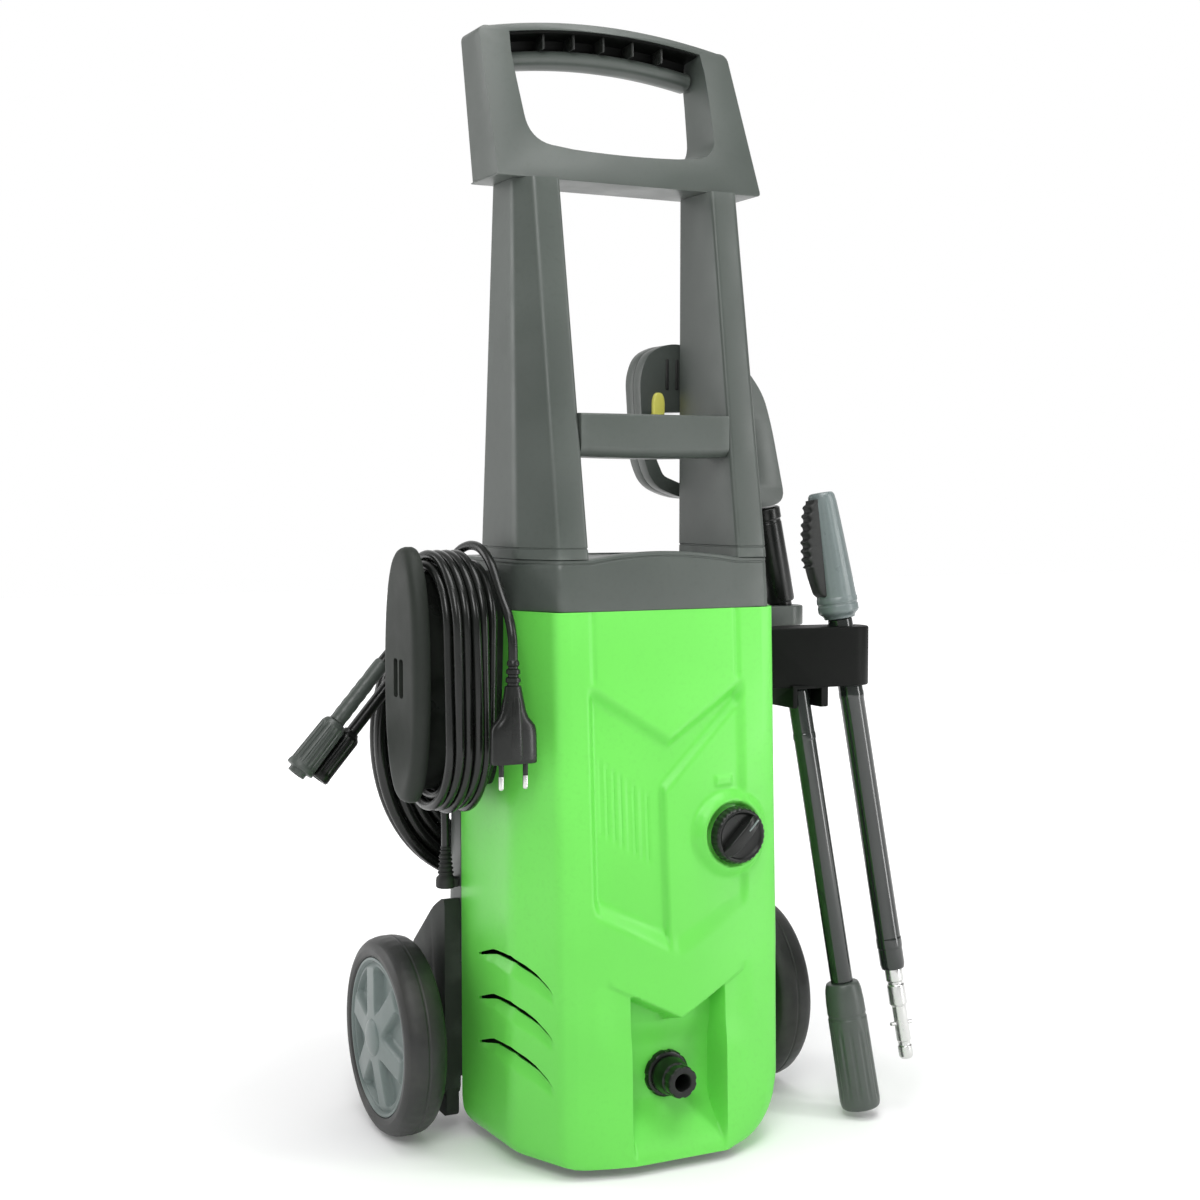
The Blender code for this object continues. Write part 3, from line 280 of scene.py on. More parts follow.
# Each look: colour, roughness, grain's scale, grain's depth in micrometres, tone, and what else it needs.
# The last four are variants of the slots' plastics.
LOOKS = {
    "green_plastic": ((0.135, 0.620, 0.078), 0.38, 1100, 20, 0.045,
        dict(wear=(0.27, 0.70, 0.20), wear_share=0.35, specular=0.4)),
    "dark_grey_plastic": ((0.058, 0.069, 0.061), 0.40, 1300, 50, 0.10,
        dict(wear=(0.17, 0.19, 0.175), wear_share=0.5)),
    "black_plastic": ((0.007, 0.008, 0.007), 0.30, 1300, 30, 0.2,
        dict(wear=(0.045, 0.05, 0.045), wear_share=0.5, specular=0.35)),
    "black_rubber": ((0.012, 0.013, 0.012), 0.62, 800, 80, 0.2,
        dict(wear=(0.07, 0.07, 0.068), wear_share=0.5)),
    "tyre_rubber": ((0.020, 0.021, 0.020), 0.48, 650, 80, 0.2,
        dict(wear=(0.09, 0.088, 0.082), wear_share=0.6, dust=(0.055, 0.052, 0.046))),
    "cable_jacket": ((0.006, 0.007, 0.006), 0.26, 1500, 30, 0.2,
        dict(swing=0.07, wave_depth=0.0002, specular=0.4)),
    "rim_plastic": ((0.130, 0.165, 0.157), 0.38, 1100, 40, 0.08,
        dict(wear=(0.34, 0.38, 0.37), wear_share=0.5)),
    "yellow_plastic": ((0.83, 0.80, 0.16), 0.40, 1100, 30, 0.05,
        dict(wear=(0.95, 0.93, 0.55), wear_share=0.4)),
    "bright_steel": ((0.60, 0.60, 0.59), 0.27, 500, 20, 0.05,
        dict(metallic=1.0, brushed=(1.0, 1.0, 0.05), wear=(0.95, 0.95, 0.95), wear_share=0.6)),
    "motor_steel": ((0.42, 0.42, 0.43), 0.38, 600, 30, 0.10,
        dict(metallic=1.0, brushed=(0.1, 1.0, 1.0), wear=(0.7, 0.7, 0.7), wear_share=0.5)),
    "cast_aluminium": ((0.62, 0.63, 0.64), 0.45, 420, 100, 0.08,
        dict(metallic=1.0, wear=(0.85, 0.85, 0.85), wear_share=0.5)),
    "brass": ((0.72, 0.52, 0.20), 0.28, 700, 30, 0.08,
        dict(metallic=1.0, wear=(0.9, 0.72, 0.38), wear_share=0.5)),
    "matte_black": ((0.020, 0.024, 0.020), 0.55, 1200, 50, 0.10,
        dict(wear=(0.07, 0.08, 0.07), wear_share=0.4, specular=0.22)),
    "deep_black": ((0.0025, 0.003, 0.0025), 0.50, 1200, 30, 0.2,
        dict(wear=(0.02, 0.022, 0.02), wear_share=0.4, specular=0.12)),
    "gloss_black": ((0.014, 0.018, 0.016), 0.15, 1500, 10, 0.2,
        dict(swing=0.04, wear=(0.05, 0.055, 0.05), wear_share=0.4, wave_depth=0.00006, specular=0.7)),
    "blue_grey": ((0.135, 0.165, 0.163), 0.30, 900, 40, 0.12,
        dict(wear=(0.22, 0.25, 0.25), wear_share=0.5)),
}


def all_finishes():
    made = {}
    for name, (colour, roughness, grain, depth, tone, others) in LOOKS.items():
        made[name] = finish(name, colour, roughness, grain, depth / 1e6, tone=tone, **others)
    return made


FINISHES = all_finishes()
camera()
studio()

# Shape helpers


def mm(*points):
    """Points given in millimetres, in metres."""
    return [tuple(round(value / 1000, 7) for value in point) for point in points]


def lerp_table(value, table):
    if value <= table[0][0]:
        return table[0][1]
    for (low, at_low), (high, at_high) in zip(table, table[1:]):
        if value <= high:
            return at_low + (at_high - at_low) * (value - low) / (high - low)
    return table[-1][1]


def ease(value):
    """Smooth step from 0 to 1."""
    t = min(1.0, max(0.0, value))
    return t * t * (3 - 2 * t)


def smooth(mesh, angle=35):
    """Smooth shading with edges kept sharp from an angle on; gives the mesh back."""
    mesh.shade_smooth()
    mesh.set_sharp_from_angle(angle=math.radians(angle))
    return mesh


def mesh_from(bm, closed=True):
    if closed:
        bmesh.ops.recalc_face_normals(bm, faces=bm.faces)
        if bm.calc_volume(signed=True) < 0:
            bmesh.ops.reverse_faces(bm, faces=bm.faces)
    mesh = bpy.data.meshes.new("piece")
    bm.to_mesh(mesh)
    bm.free()
    return mesh


def aligned(axis):
    return Vector((0, 0, 1)).rotation_difference(Vector(axis)).to_matrix().to_4x4()


def placed(mesh, origin=(0, 0, 0), axis=(0, 0, 1), spin=0.0):
    mesh.transform(Matrix.Translation(Vector(origin)) @ aligned(axis) @ Matrix.Rotation(spin, 4, "Z"))
    return mesh


def modified(mesh, steps):
    """Mesh after some modifiers, each given as its kind and its settings."""
    holder = linked("holder", mesh)
    for kind, settings in steps:
        modifier = holder.modifiers.new(kind, kind)
        for key, value in settings.items():
            setattr(modifier, key, value)
    bpy.context.view_layer.update()
    made = bpy.data.meshes.new_from_object(holder.evaluated_get(bpy.context.evaluated_depsgraph_get()))
    bpy.data.objects.remove(holder, do_unlink=True)
    return made


def with_bevel(mesh, width, segments=3, angle=35):
    return modified(mesh, [("BEVEL", {"width": width, "segments": segments, "limit_method": "ANGLE",
                                      "angle_limit": math.radians(angle)})])


def combined(mesh, others, operation="DIFFERENCE"):
    """Mesh with others cut out of it, or joined to it."""
    helpers = [linked("helper", other) for other in others]
    made = modified(mesh, [("BOOLEAN", {"operation": operation, "object": helper}) for helper in helpers])
    for helper in helpers:
        bpy.data.objects.remove(helper, do_unlink=True)
    return made


def box(low, high):
    bm = bmesh.new()
    bmesh.ops.create_cube(bm, size=1.0)
    bmesh.ops.scale(bm, vec=Vector(high) - Vector(low), verts=bm.verts)
    bmesh.ops.translate(bm, vec=(Vector(high) + Vector(low)) / 2, verts=bm.verts)
    return mesh_from(bm)


def cylinder(centre, axis, radius, length, sides=64):
    bm = bmesh.new()
    bmesh.ops.create_cone(bm, cap_ends=True, segments=sides, radius1=radius, radius2=radius, depth=length)
    return placed(mesh_from(bm), centre, axis)


def loft(rings):
    """Closed solid through rings of equally many points, capped at both ends."""
    bm = bmesh.new()
    loops = [[bm.verts.new(point) for point in ring] for ring in rings]
    count = len(rings[0])
    for lower, upper in zip(loops, loops[1:]):
        for i in range(count):
            j = (i + 1) % count
            bm.faces.new((lower[i], lower[j], upper[j], upper[i]))
    bm.faces.new(list(reversed(loops[0])))
    bm.faces.new(loops[-1])
    return mesh_from(bm)


def sheet(rows):
    """Open surface through rows of equally many points."""
    bm = bmesh.new()
    lines = [[bm.verts.new(point) for point in row] for row in rows]
    for lower, upper in zip(lines, lines[1:]):
        for i in range(len(lower) - 1):
            bm.faces.new((lower[i], lower[i + 1], upper[i + 1], upper[i]))
    return mesh_from(bm, closed=False)


def curve_point(start, corner, end, t):
    return start * (1 - t) ** 2 + corner * 2 * t * (1 - t) + end * t ** 2


def bent(before, corner, after, reach, steps):
    """Points of the curve that rounds a corner between two neighbours, starting at a reach from it."""
    corner, before, after = Vector(corner), Vector(before), Vector(after)
    start = corner + (before - corner).normalized() * reach
    end = corner + (after - corner).normalized() * reach
    return [curve_point(start, corner, end, k / steps) for k in range(steps + 1)]


def straight(first, last, steps):
    return [Vector(first).lerp(Vector(last), k / steps) for k in range(1, steps)]


def softened(profile, radius=0.0006):
    """Profile with its sharp corners turned into three short steps."""
    result = [Vector(profile[0])]
    for before, here, after in zip(profile, profile[1:], profile[2:]):
        here = Vector(here)
        back = Vector(before) - here
        ahead = Vector(after) - here
        short = here.x < 1e-6 or back.length < 1e-7 or ahead.length < 1e-7
        if short or back.angle(ahead) > math.radians(160):
            result.append(here)
            continue
        reach = min(radius, back.length * 0.4, ahead.length * 0.4)
        start = here + back.normalized() * reach
        end = here + ahead.normalized() * reach
        result += [curve_point(start, here, end, t) for t in (0.0, 0.33, 0.67, 1.0)]
    result.append(Vector(profile[-1]))
    return result


def lathe(profile, origin=(0, 0, 0), axis=(0, 0, 1), steps=72, shape=None, soft=0.0006, sharp=35):
    """Turned solid from (radius, height) pairs that run down its outer side.

    A profile that starts off the axis is a closed ring. shape(angle, radius, height) may move a point.
    """
    ring_shaped = profile[0][0] > 0
    if ring_shaped:
        start = (Vector(profile[0]) + Vector(profile[-1])) / 2
        profile = [tuple(start)] + list(profile) + [tuple(start)]
    points = softened(profile, soft)
    if ring_shaped:
        points = points[:-1]
    bm = bmesh.new()
    rings = []
    for point in points:
        if point.x < 1e-6:
            rings.append([bm.verts.new((0, 0, point.y))])
            continue
        ring = []
        for k in range(steps):
            angle = 2 * math.pi * k / steps
            radius, height = point if shape is None else shape(angle, point.x, point.y)
            ring.append(bm.verts.new((radius * math.cos(angle), radius * math.sin(angle), height)))
        rings.append(ring)
    pairs = list(zip(rings, rings[1:]))
    if ring_shaped:
        pairs.append((rings[-1], rings[0]))
    for upper, lower in pairs:
        for k in range(steps):
            j = (k + 1) % steps
            if len(upper) == 1 and len(lower) == 1:
                break
            if len(upper) == 1:
                bm.faces.new((upper[0], lower[k], lower[j]))
            elif len(lower) == 1:
                bm.faces.new((upper[k], lower[0], upper[j]))
            else:
                bm.faces.new((upper[k], lower[k], lower[j], upper[j]))
    mesh = mesh_from(bm)
    smooth(mesh, sharp)
    return placed(mesh, origin, axis)


def rounded(corners, radius, steps=5):
    """Closed outline with its corners rounded by about that radius."""
    outline = []
    count = len(corners)
    for i in range(count):
        before, here, after = (Vector(corners[j % count]) for j in (i - 1, i, i + 1))
        reach = min(radius, (before - here).length * 0.45, (after - here).length * 0.45)
        outline += bent(before, here, after, reach, steps)
    return outline


def oval(semi, count=72, power=2.0, centre=(0, 0)):
    outline = []
    for k in range(count):
        angle = 2 * math.pi * k / count
        c, s = math.cos(angle), math.sin(angle)
        x = semi[0] * math.copysign(abs(c) ** (2 / power), c)
        y = semi[1] * math.copysign(abs(s) ** (2 / power), s)
        outline.append(Vector((centre[0] + x, centre[1] + y)))
    return outline


PLANES = {
    "XY": lambda a, b, t: Vector((a, b, t)),
    "XZ": lambda a, b, t: Vector((a, t, b)),
    "YZ": lambda a, b, t: Vector((t, a, b)),
}


def plate(outlines, low, high, plane):
    """Flat plate between two levels; outlines after the first one are its holes."""
    curve = bpy.data.curves.new("outline", "CURVE")
    curve.dimensions = "2D"
    curve.fill_mode = "BOTH"
    curve.extrude = (high - low) / 2
    for outline in outlines:
        spline = curve.splines.new("POLY")
        spline.points.add(len(outline) - 1)
        for point, place in zip(spline.points, outline):
            point.co = (place[0], place[1], 0.0, 1.0)
        spline.use_cyclic_u = True
    carrier = linked("outline", curve)
    bpy.context.view_layer.update()
    mesh = bpy.data.meshes.new_from_object(carrier.evaluated_get(bpy.context.evaluated_depsgraph_get()))
    bpy.data.objects.remove(carrier, do_unlink=True)
    bm = bmesh.new()
    bm.from_mesh(mesh)
    bmesh.ops.remove_doubles(bm, verts=bm.verts, dist=0.00002)
    if len(outlines) == 1:
        inner = [edge for edge in bm.edges if len(edge.link_faces) == 2
                 and all(abs(face.normal.z) > 0.9 for face in edge.link_faces)]
        bmesh.ops.dissolve_edges(bm, edges=inner, use_verts=False)
    middle = (high + low) / 2
    for vert in bm.verts:
        vert.co = PLANES[plane](vert.co.x, vert.co.y, middle + vert.co.z)
    return mesh_from(bm)


def smooth_route(route, spacing):
    points = [Vector(p) for p in route]
    line = [points[0] * 2 - points[1]] + points + [points[-1] * 2 - points[-2]]
    dense = []
    for a, b, c, d in zip(line, line[1:], line[2:], line[3:]):
        for k in range(8):
            t = k / 8
            dense.append(0.5 * (2 * b + (c - a) * t + (2 * a - 5 * b + 4 * c - d) * t * t
                                + (3 * b - a - 3 * c + d) * t ** 3))
    dense.append(points[-1])
    length = sum((q - p).length for p, q in zip(dense, dense[1:]))
    count = max(4, round(length / spacing))
    wanted = [length * k / count for k in range(count + 1)]
    result = [dense[0]]
    done = 0.0
    for p, q in zip(dense, dense[1:]):
        step = (q - p).length
        while len(result) < count and done + step >= wanted[len(result)]:
            result.append(p.lerp(q, (wanted[len(result)] - done) / step))
        done += step
    result.append(dense[-1])
    return result


def cable(name, route, radius, spacing):
    """A cord along a smooth curve through its route's points."""
    curve = bpy.data.curves.new(name, "CURVE")
    curve.dimensions = "3D"
    curve.bevel_depth = radius
    curve.bevel_resolution = 5
    curve.use_fill_caps = True
    points = smooth_route(route, spacing)
    spline = curve.splines.new("POLY")
    spline.points.add(len(points) - 1)
    for point, place in zip(spline.points, points):
        point.co = (*place, 1.0)
    curve.materials.append(FINISHES["cable_jacket"])
    obj = linked(name, curve)
    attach(obj, "machine")
    return obj


def show(name, mesh, slot, *nodes, body=None, look=None):
    """A visible piece that rides on its node's body and stands for those nodes."""
    mesh.name = name
    mesh.materials.clear()
    mesh.materials.append(FINISHES[look or slot])
    mesh.polygons.foreach_set("material_index", [0] * len(mesh.polygons))
    obj = linked(name, mesh)
    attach(obj, body or BODY_OF[nodes[0]])
    if nodes:
        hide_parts(*nodes)
    return obj


def refined(node, slot, width=0.0008, segments=2, angle=30, look=None):
    """A CAD node's own shape with its edges rounded."""
    bm = bmesh.new()
    bm.from_mesh(frame["nodes"][node].data)
    bmesh.ops.remove_doubles(bm, verts=bm.verts, dist=0.00001)
    bmesh.ops.dissolve_limit(bm, angle_limit=math.radians(1.0), verts=bm.verts, edges=bm.edges)
    mesh = mesh_from(bm)
    mesh = with_bevel(mesh, width, segments, angle)
    smooth(mesh)
    return show(node + "_detail", mesh, slot, node, look=look)


# Power cord and hose


def winding_point(turn, radius, x):
    """Point of the wound cord; a turn starts in the middle of the rear side and goes up."""
    half_round = math.pi * radius
    total = 4 * CORD_STRAIGHT + 2 * half_round
    way = (turn % 1.0) * total
    top, low = HUB_Z + CORD_STRAIGHT, HUB_Z - CORD_STRAIGHT
    if way < CORD_STRAIGHT:
        return Vector((x, HUB_Y + radius, HUB_Z + way))
    way -= CORD_STRAIGHT
    if way < half_round:
        angle = way / radius
        return Vector((x, HUB_Y + radius * math.cos(angle), top + radius * math.sin(angle)))
    way -= half_round
    if way < 2 * CORD_STRAIGHT:
        return Vector((x, HUB_Y - radius, top - way))
    way -= 2 * CORD_STRAIGHT
    if way < half_round:
        angle = math.pi + way / radius
        return Vector((x, HUB_Y + radius * math.cos(angle), low + radius * math.sin(angle)))
    way -= half_round
    return Vector((x, HUB_Y + radius, low + way))


def power_cord():
    near, far = -0.1275, -0.1645
    inner, outer = 0.0445, 0.0520
    supply = [(GLAND_X, GLAND_Y, 0.2240), (GLAND_X, GLAND_Y, 0.2400), (GLAND_X - 0.0004, 0.0863, 0.2700),
              (GLAND_X - 0.0010, 0.0880, 0.3000), (GLAND_X - 0.0013, 0.0884, 0.3300), (near, 0.0850, 0.3680),
              (near, 0.0760, 0.4050)]
    route = [Vector(p) for p in supply]
    per_turn = 40
    first, last = int(0.14 * per_turn), int(10.07 * per_turn)
    slack = [DICE.uniform(0.0004, 0.0062) for _ in range(12)]
    bulge = [DICE.uniform(0.0, 0.0048) for _ in range(12)]
    for k in range(first, last + 1):
        turn = k / per_turn
        if turn < 5.25:
            x = near + (far - near) * max(0.0, turn - 0.25) / 5.0
            radius = inner
        elif turn < 5.75:
            x = far
            radius = inner + (outer - inner) * ease((turn - 5.25) / 0.5)
        else:
            x = far + (turn - 5.75) * 0.00706
            radius = outer
        point = winding_point(turn, radius, x)
        if turn > 6.0:
            hang = max(0.0, (HUB_Z - point.z) / 0.094) ** 2
            swell = ease((HUB_Y - point.y) / 0.05) * max(0.0, 1 - ((point.z - HUB_Z + 0.012) / 0.085) ** 2)
            point.z -= hang * slack[int(turn)]
            point.y -= swell * bulge[int(turn)]
        route.append(point)
    bend_radius = 0.0555 + CORD_R + 0.0011
    tail_start = -0.1345
    for degrees in range(0, 137, 8):
        angle = math.radians(degrees)
        radius = outer + (bend_radius - outer) * ease(degrees / 125)
        x = tail_start + (near - tail_start) * ease(degrees / 110)
        y, z = HUB_Y + radius * math.cos(angle), HUB_Z + CORD_STRAIGHT + radius * math.sin(angle)
        route.append(Vector((x, y, z)))
    route += [Vector((near, y, z)) for y, z in ((-0.0300, 0.4310), (-0.0430, 0.4170), (-0.0500, 0.4020),
                                                (-0.0510, 0.3860), (-0.0510, 0.3790))]
    cord = cable("power_cord", route, CORD_R, 0.005)
    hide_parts("power_cord_coil", "power_cord_supply", "power_cord_tail")
    return cord


def hose_point(degrees, shrink, y):
    angle = math.radians(degrees)
    return Vector((HOSE_CENTRE[0] + (HOSE_SEMI[0] - shrink) * math.cos(angle), y,
                   HOSE_CENTRE[1] + (HOSE_SEMI[1] - shrink) * math.sin(angle)))


def hose_layer(first, last, y):
    """Spiral layer from one angle to another; the larger angle in size is its inner end."""
    pitch = 0.0101
    count = int(abs(last - first) / 8)
    outer = first if last < first else last
    points = []
    for k in range(count + 1):
        degrees = first + (last - first) * k / count
        away = abs(degrees - outer)
        point = hose_point(degrees, pitch * away / 360.0 - 0.0040 * (1 - ease(away / 50.0)), y)
        point.y += 0.0004 * math.sin(away * 0.029)
        points.append(point)
    return points


def pressure_hose():
    sleeve_back = HOSE_TIP_A - HOSE_LEAN * SLEEVE_LENGTH
    nut_back = HOSE_TIP_B - HOSE_LEAN * NUT_LENGTH
    route = [sleeve_back - HOSE_LEAN * reach for reach in (-0.004, 0.0006, 0.027)]
    route += map(Vector, mm((-147, 115, 408.5), (-137, 131, 424.5), (-121, 146.5, 436)))
    route += hose_layer(100.0, -1125.0, REAR_LAYER)
    loop_r = 0.0374
    loop = [(-0.0539, 0.2662, -40 - 10 * k) for k in range(23)]
    loop += [(-0.0566, 0.3406, -82 + 10 * k) for k in range(11)]
    for k, (x, z, degrees) in enumerate(loop):
        angle = math.radians(degrees)
        share = ease((k - 9) / 12)
        y = REAR_LAYER + (FRONT_LAYER - REAR_LAYER) * share
        route.append(Vector((x + loop_r * math.cos(angle), y, z + loop_r * math.sin(angle))))
    route += hose_layer(36.0, 1530.0, FRONT_LAYER)
    route += map(Vector, mm((-88, 139, 445.2), (-104.5, 130, 434), (-118, 121, 416)))
    route += [nut_back - HOSE_LEAN * reach for reach in (0.085, 0.060, 0.035, 0.010, -0.004)]
    hose = cable("pressure_hose", route, HOSE_R, 0.008)
    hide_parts("hose_coil", "hose_end_a", "hose_end_b")
    return hose, sleeve_back


# Front shell


def corner_inset(z, side):
    """How far the rounded lower corner pulls the flank in; the left one is the tighter."""
    radius = LEFT_CORNER if side < 0 else RIGHT_CORNER
    rise = z - SHELL_BOTTOM
    if rise >= radius:
        return 0.0
    return radius - math.sqrt(radius ** 2 - (radius - rise) ** 2)


def drawn_in(x, z, side):
    fixed = RECESS_HALF + RECESS_WALL
    if x <= fixed:
        return x
    half = lerp_table(z, REAR_X)
    return fixed + (x - fixed) * (half - corner_inset(z, side) - fixed) / (half - fixed)


def hood_line(x):
    """Lower edge of the hood over the water inlet."""
    return 0.1150 + 0.52 * abs(x)


def relief(x, z):
    """How far the front stands proud of its plain crowned face."""
    off = x + 0.002
    middle = ease((0.067 - abs(off)) / 0.008)
    below_shield = ease((0.3250 + 0.64 * abs(off) - z) / 0.0125)
    above_chest = ease((z - 0.1580 - 0.50 * abs(x)) / 0.0190)
    island = ease((x + 0.0095) / 0.0035) * ease((0.2980 + 0.93 * x - z) / 0.0110)
    depth = -0.0072 * middle * below_shield * above_chest * (1 - 0.62 * island)
    if z > 0.362:
        depth -= 0.0014 * ease(1 - abs(abs(off) - 0.0610) / 0.0030) * ease((z - 0.362) / 0.008)
    for k in range(8):
        groove_x = -0.0570 + 0.0054 * k
        high = 0.3130 - 0.72 * (groove_x + 0.0586)
        low = 0.2510 - 0.60 * (groove_x + 0.0586)
        ends = ease((high - z) / 0.006) * ease((z - low) / 0.006)
        depth -= 0.0010 * ease(1 - abs(x - groove_x) / 0.0016) * ends
    far = math.hypot(x - KNOB.x, z - KNOB.z)
    depth += 0.0054 * ease((0.0345 - far) / 0.0075)
    depth += 0.0016 * ease(1 - abs(far - 0.0255) / 0.0026)
    if far < 0.0232:
        depth -= 0.0040 * ease((0.0232 - far) / 0.0008)
    for k in range(9):
        angle = math.radians(-30 + 30 * k)
        place = math.hypot(x - KNOB.x - 0.0300 * math.cos(angle), z - KNOB.z - 0.0300 * math.sin(angle))
        depth += 0.0009 * ease(1 - place / 0.0018)
    tab = max(abs(x - 0.0445) / 0.0068, abs(z - 0.2880) / 0.0034)
    depth += 0.0014 * ease((1.25 - tab) / 0.35)
    step = hood_line(x) - z
    if abs(x) < 0.070:
        depth -= 0.0022 * ease(step / 0.0025) * ease((0.070 - abs(x)) / 0.020) * ease((z - 0.085) / 0.03)
    return depth


def front_y(x, z):
    side = abs(x)
    centre = lerp_table(z, FRONT_CENTRE)
    edge = lerp_table(z, FRONT_EDGE)
    plain = centre + (edge - centre) * (side / FRONT_HALF) ** 2
    face = plain - relief(x, z)
    inside = ease((RECESS_HALF + RECESS_WALL - side) / RECESS_WALL) * ease((hood_line(x) - z) / 0.0060)
    floor = RECESS_Y - 0.0265 * ease((0.052 - z) / 0.044)
    floor -= 0.0060 * ease((z - 0.088) / 0.022) * (1 - 0.4 * side / RECESS_HALF)
    return face * (1 - inside) + floor * inside


VENT_LINE = ((-0.0525, 0.1335), (-0.035, 0.1450), (-0.012, 0.1535), (0.015, 0.1545), (0.046, 0.149))
VENT_HALF = ((-0.0525, 0.0016), (-0.045, 0.0054), (-0.026, 0.0078), (-0.002, 0.0072), (0.022, 0.0050),
             (0.046, 0.0014))
VENT_DROP = 0.0345
VENT_TOP = 0.1495
SLIT = 0.0058
VENT_ENDS = (-0.0525, 0.046)
SLIT_TOPS = [VENT_TOP - VENT_DROP * row for row in range(3)]


def row_shift(x, y, level):
    """How far a row of the shell's mesh is moved up so that the rows follow the vents."""
    inside = ease((level - 0.035) / 0.036) * ease((0.215 - level) / 0.045)
    inside *= ease((x - 0.066) / 0.024) * ease((0.078 - y) / 0.030)
    held = min(VENT_ENDS[1], max(VENT_ENDS[0], y))
    return inside * (lerp_table(held, VENT_LINE) + lerp_table(held, VENT_HALF) - VENT_TOP)


def scoop(y, level):
    """Depth of the sloped scoops of the side vents."""
    if not VENT_ENDS[0] < y < VENT_ENDS[1]:
        return 0.0
    half = lerp_table(y, VENT_HALF)
    for row in range(3):
        rise = (level - VENT_TOP + VENT_DROP * row + 2 * half) / (2 * half)
        if 0.0 < rise < 0.999:
            return 0.0062 * rise * min(1.0, half / 0.004)
    return 0.0


def half_row(level, side):
    front = [0.0015 * k for k in range(23)] + [0.0350, 0.0365, 0.0375, 0.0385, 0.0395, 0.0405, 0.0415]
    front += [0.0430 + 0.0015 * k for k in range(27)]
    row = []
    for x in front:
        z = level + row_shift(x, VENT_ENDS[0], level)
        row.append(Vector((drawn_in(x, z, side), front_y(side * x, z), z)))
    last = Vector((drawn_in(front[-1], level, side), front_y(side * front[-1], level)))
    side_x, side_y = lerp_table(level, SIDE_X), lerp_table(level, SIDE_Y)
    corner = (drawn_in(FRONT_HALF + 0.0018, level, side), lerp_table(level, FRONT_EDGE) + 0.0015)
    hip = (drawn_in(side_x, level, side), side_y)
    rear_y = lerp_table(level, REAR_EDGE_Y)
    rounding = max(0.0, 0.025 - (level - SHELL_BOTTOM))
    rear_y -= 0.025 - math.sqrt(0.025 ** 2 - rounding ** 2)
    rear = (drawn_in(lerp_table(level, REAR_X), level, side), rear_y)
    first = bent(last, corner, hip, 0.0045, 5)
    second = bent(corner, hip, rear, 0.0090, 8)
    flank = first + straight(first[-1], second[0], 16) + second
    flank += straight(second[-1], rear, 34) + [Vector(rear)]
    pinch = min(abs(level - (top - SLIT)) for top in SLIT_TOPS) < 0.0001
    for point in flank:
        z = level + row_shift(1.0, point.y, level)
        if pinch and VENT_ENDS[0] < point.y < VENT_ENDS[1]:
            z += (SLIT - 0.0005) * (1 - lerp_table(point.y, VENT_HALF) / 0.0078)
        x = (point.x + corner_inset(level, side) - corner_inset(z, side)
             + lerp_table(z, SIDE_X) - lerp_table(level, SIDE_X))
        out = Vector((1.0, -0.25 if point.y < -0.015 else 0.0)).normalized() * scoop(point.y, level)
        row.append(Vector((x - out.x, point.y - out.y, z)))
    return row


def front_shell():
    levels = [SHELL_BOTTOM + 0.0018 * k for k in range(30)]
    for top, low in zip(SLIT_TOPS[::-1], (0.0615, 0.0805, 0.1150)):
        start = low + 0.0011
        steps = round((top - SLIT - start) / 0.0013)
        levels += [start + (top - SLIT - start) * k / steps for k in range(steps + 1)] + [top]
    levels += [VENT_TOP + 0.0015 * k for k in range(1, 180)]
    levels = [z for z in levels if z < SHELL_TOP - 0.0006] + [SHELL_TOP - 0.0004]
    bm = bmesh.new()
    lines = []
    for level in levels:
        left = [Vector((-p.x, p.y, p.z)) for p in reversed(half_row(level, -1))]
        lines.append([bm.verts.new(p) for p in left + half_row(level, 1)[1:]])
    slits = [k for k, level in enumerate(levels) if min(abs(level - top) for top in SLIT_TOPS) < 0.0001]
    for k, (lower, upper) in enumerate(zip(lines, lines[1:]), 1):
        for i in range(len(lower) - 1):
            middle = (lower[i].co + upper[i + 1].co) / 2
            if k in slits and abs(middle.x) > 0.092 and -0.0480 < middle.y < 0.0420:
                continue
            near_knob = math.hypot(middle.x - KNOB.x, middle.z - KNOB.z) < 0.0100 and middle.y < 0
            near_inlet = math.hypot(middle.x - INLET.x, middle.z - INLET.z) < 0.0160 and middle.y < 0
            if not near_knob and not near_inlet:
                bm.faces.new((lower[i], lower[i + 1], upper[i + 1], upper[i]))
    mesh = mesh_from(bm, closed=False)
    mesh = modified(mesh, [("SOLIDIFY", {"thickness": WALL, "offset": -1.0})])
    show("front_shell_moulding", smooth(mesh, 50), "green_plastic", "front_shell")


def rear_shell():
    rows = []
    for k in range(96):
        z = 0.1362 + (SHELL_TOP - 0.0004 - 0.1362) * k / 95
        side, back = lerp_table(z, REAR_X), lerp_table(z, BACK_Y)
        front = (side, lerp_table(z, REAR_EDGE_Y) + 0.0012)
        corner = (side, back)
        arc = bent(front, corner, (0.0, back), 0.026, 10)
        groove = 0.0
        for line in range(7):
            groove += ease(1 - abs(z - 0.235 - 0.016 * line) / 0.0035)
        half = [Vector(front)] + straight(front, arc[0], 12) + arc
        inner = [arc[-1].x * (1 - i / 24) for i in range(1, 25)]
        for x in inner:
            dent = 0.0016 * groove * ease((0.052 - x) / 0.004)
            half.append(Vector((x, back - dent)))
        right = [Vector((p.x, p.y, z)) for p in half]
        left = [Vector((-p.x, p.y, z)) for p in reversed(half[:-1])]
        rows.append(right + left)
    mesh = modified(sheet(rows), [("SOLIDIFY", {"thickness": WALL, "offset": -1.0})])
    show("rear_shell_moulding", smooth(mesh, 45), DARK, "rear_shell")


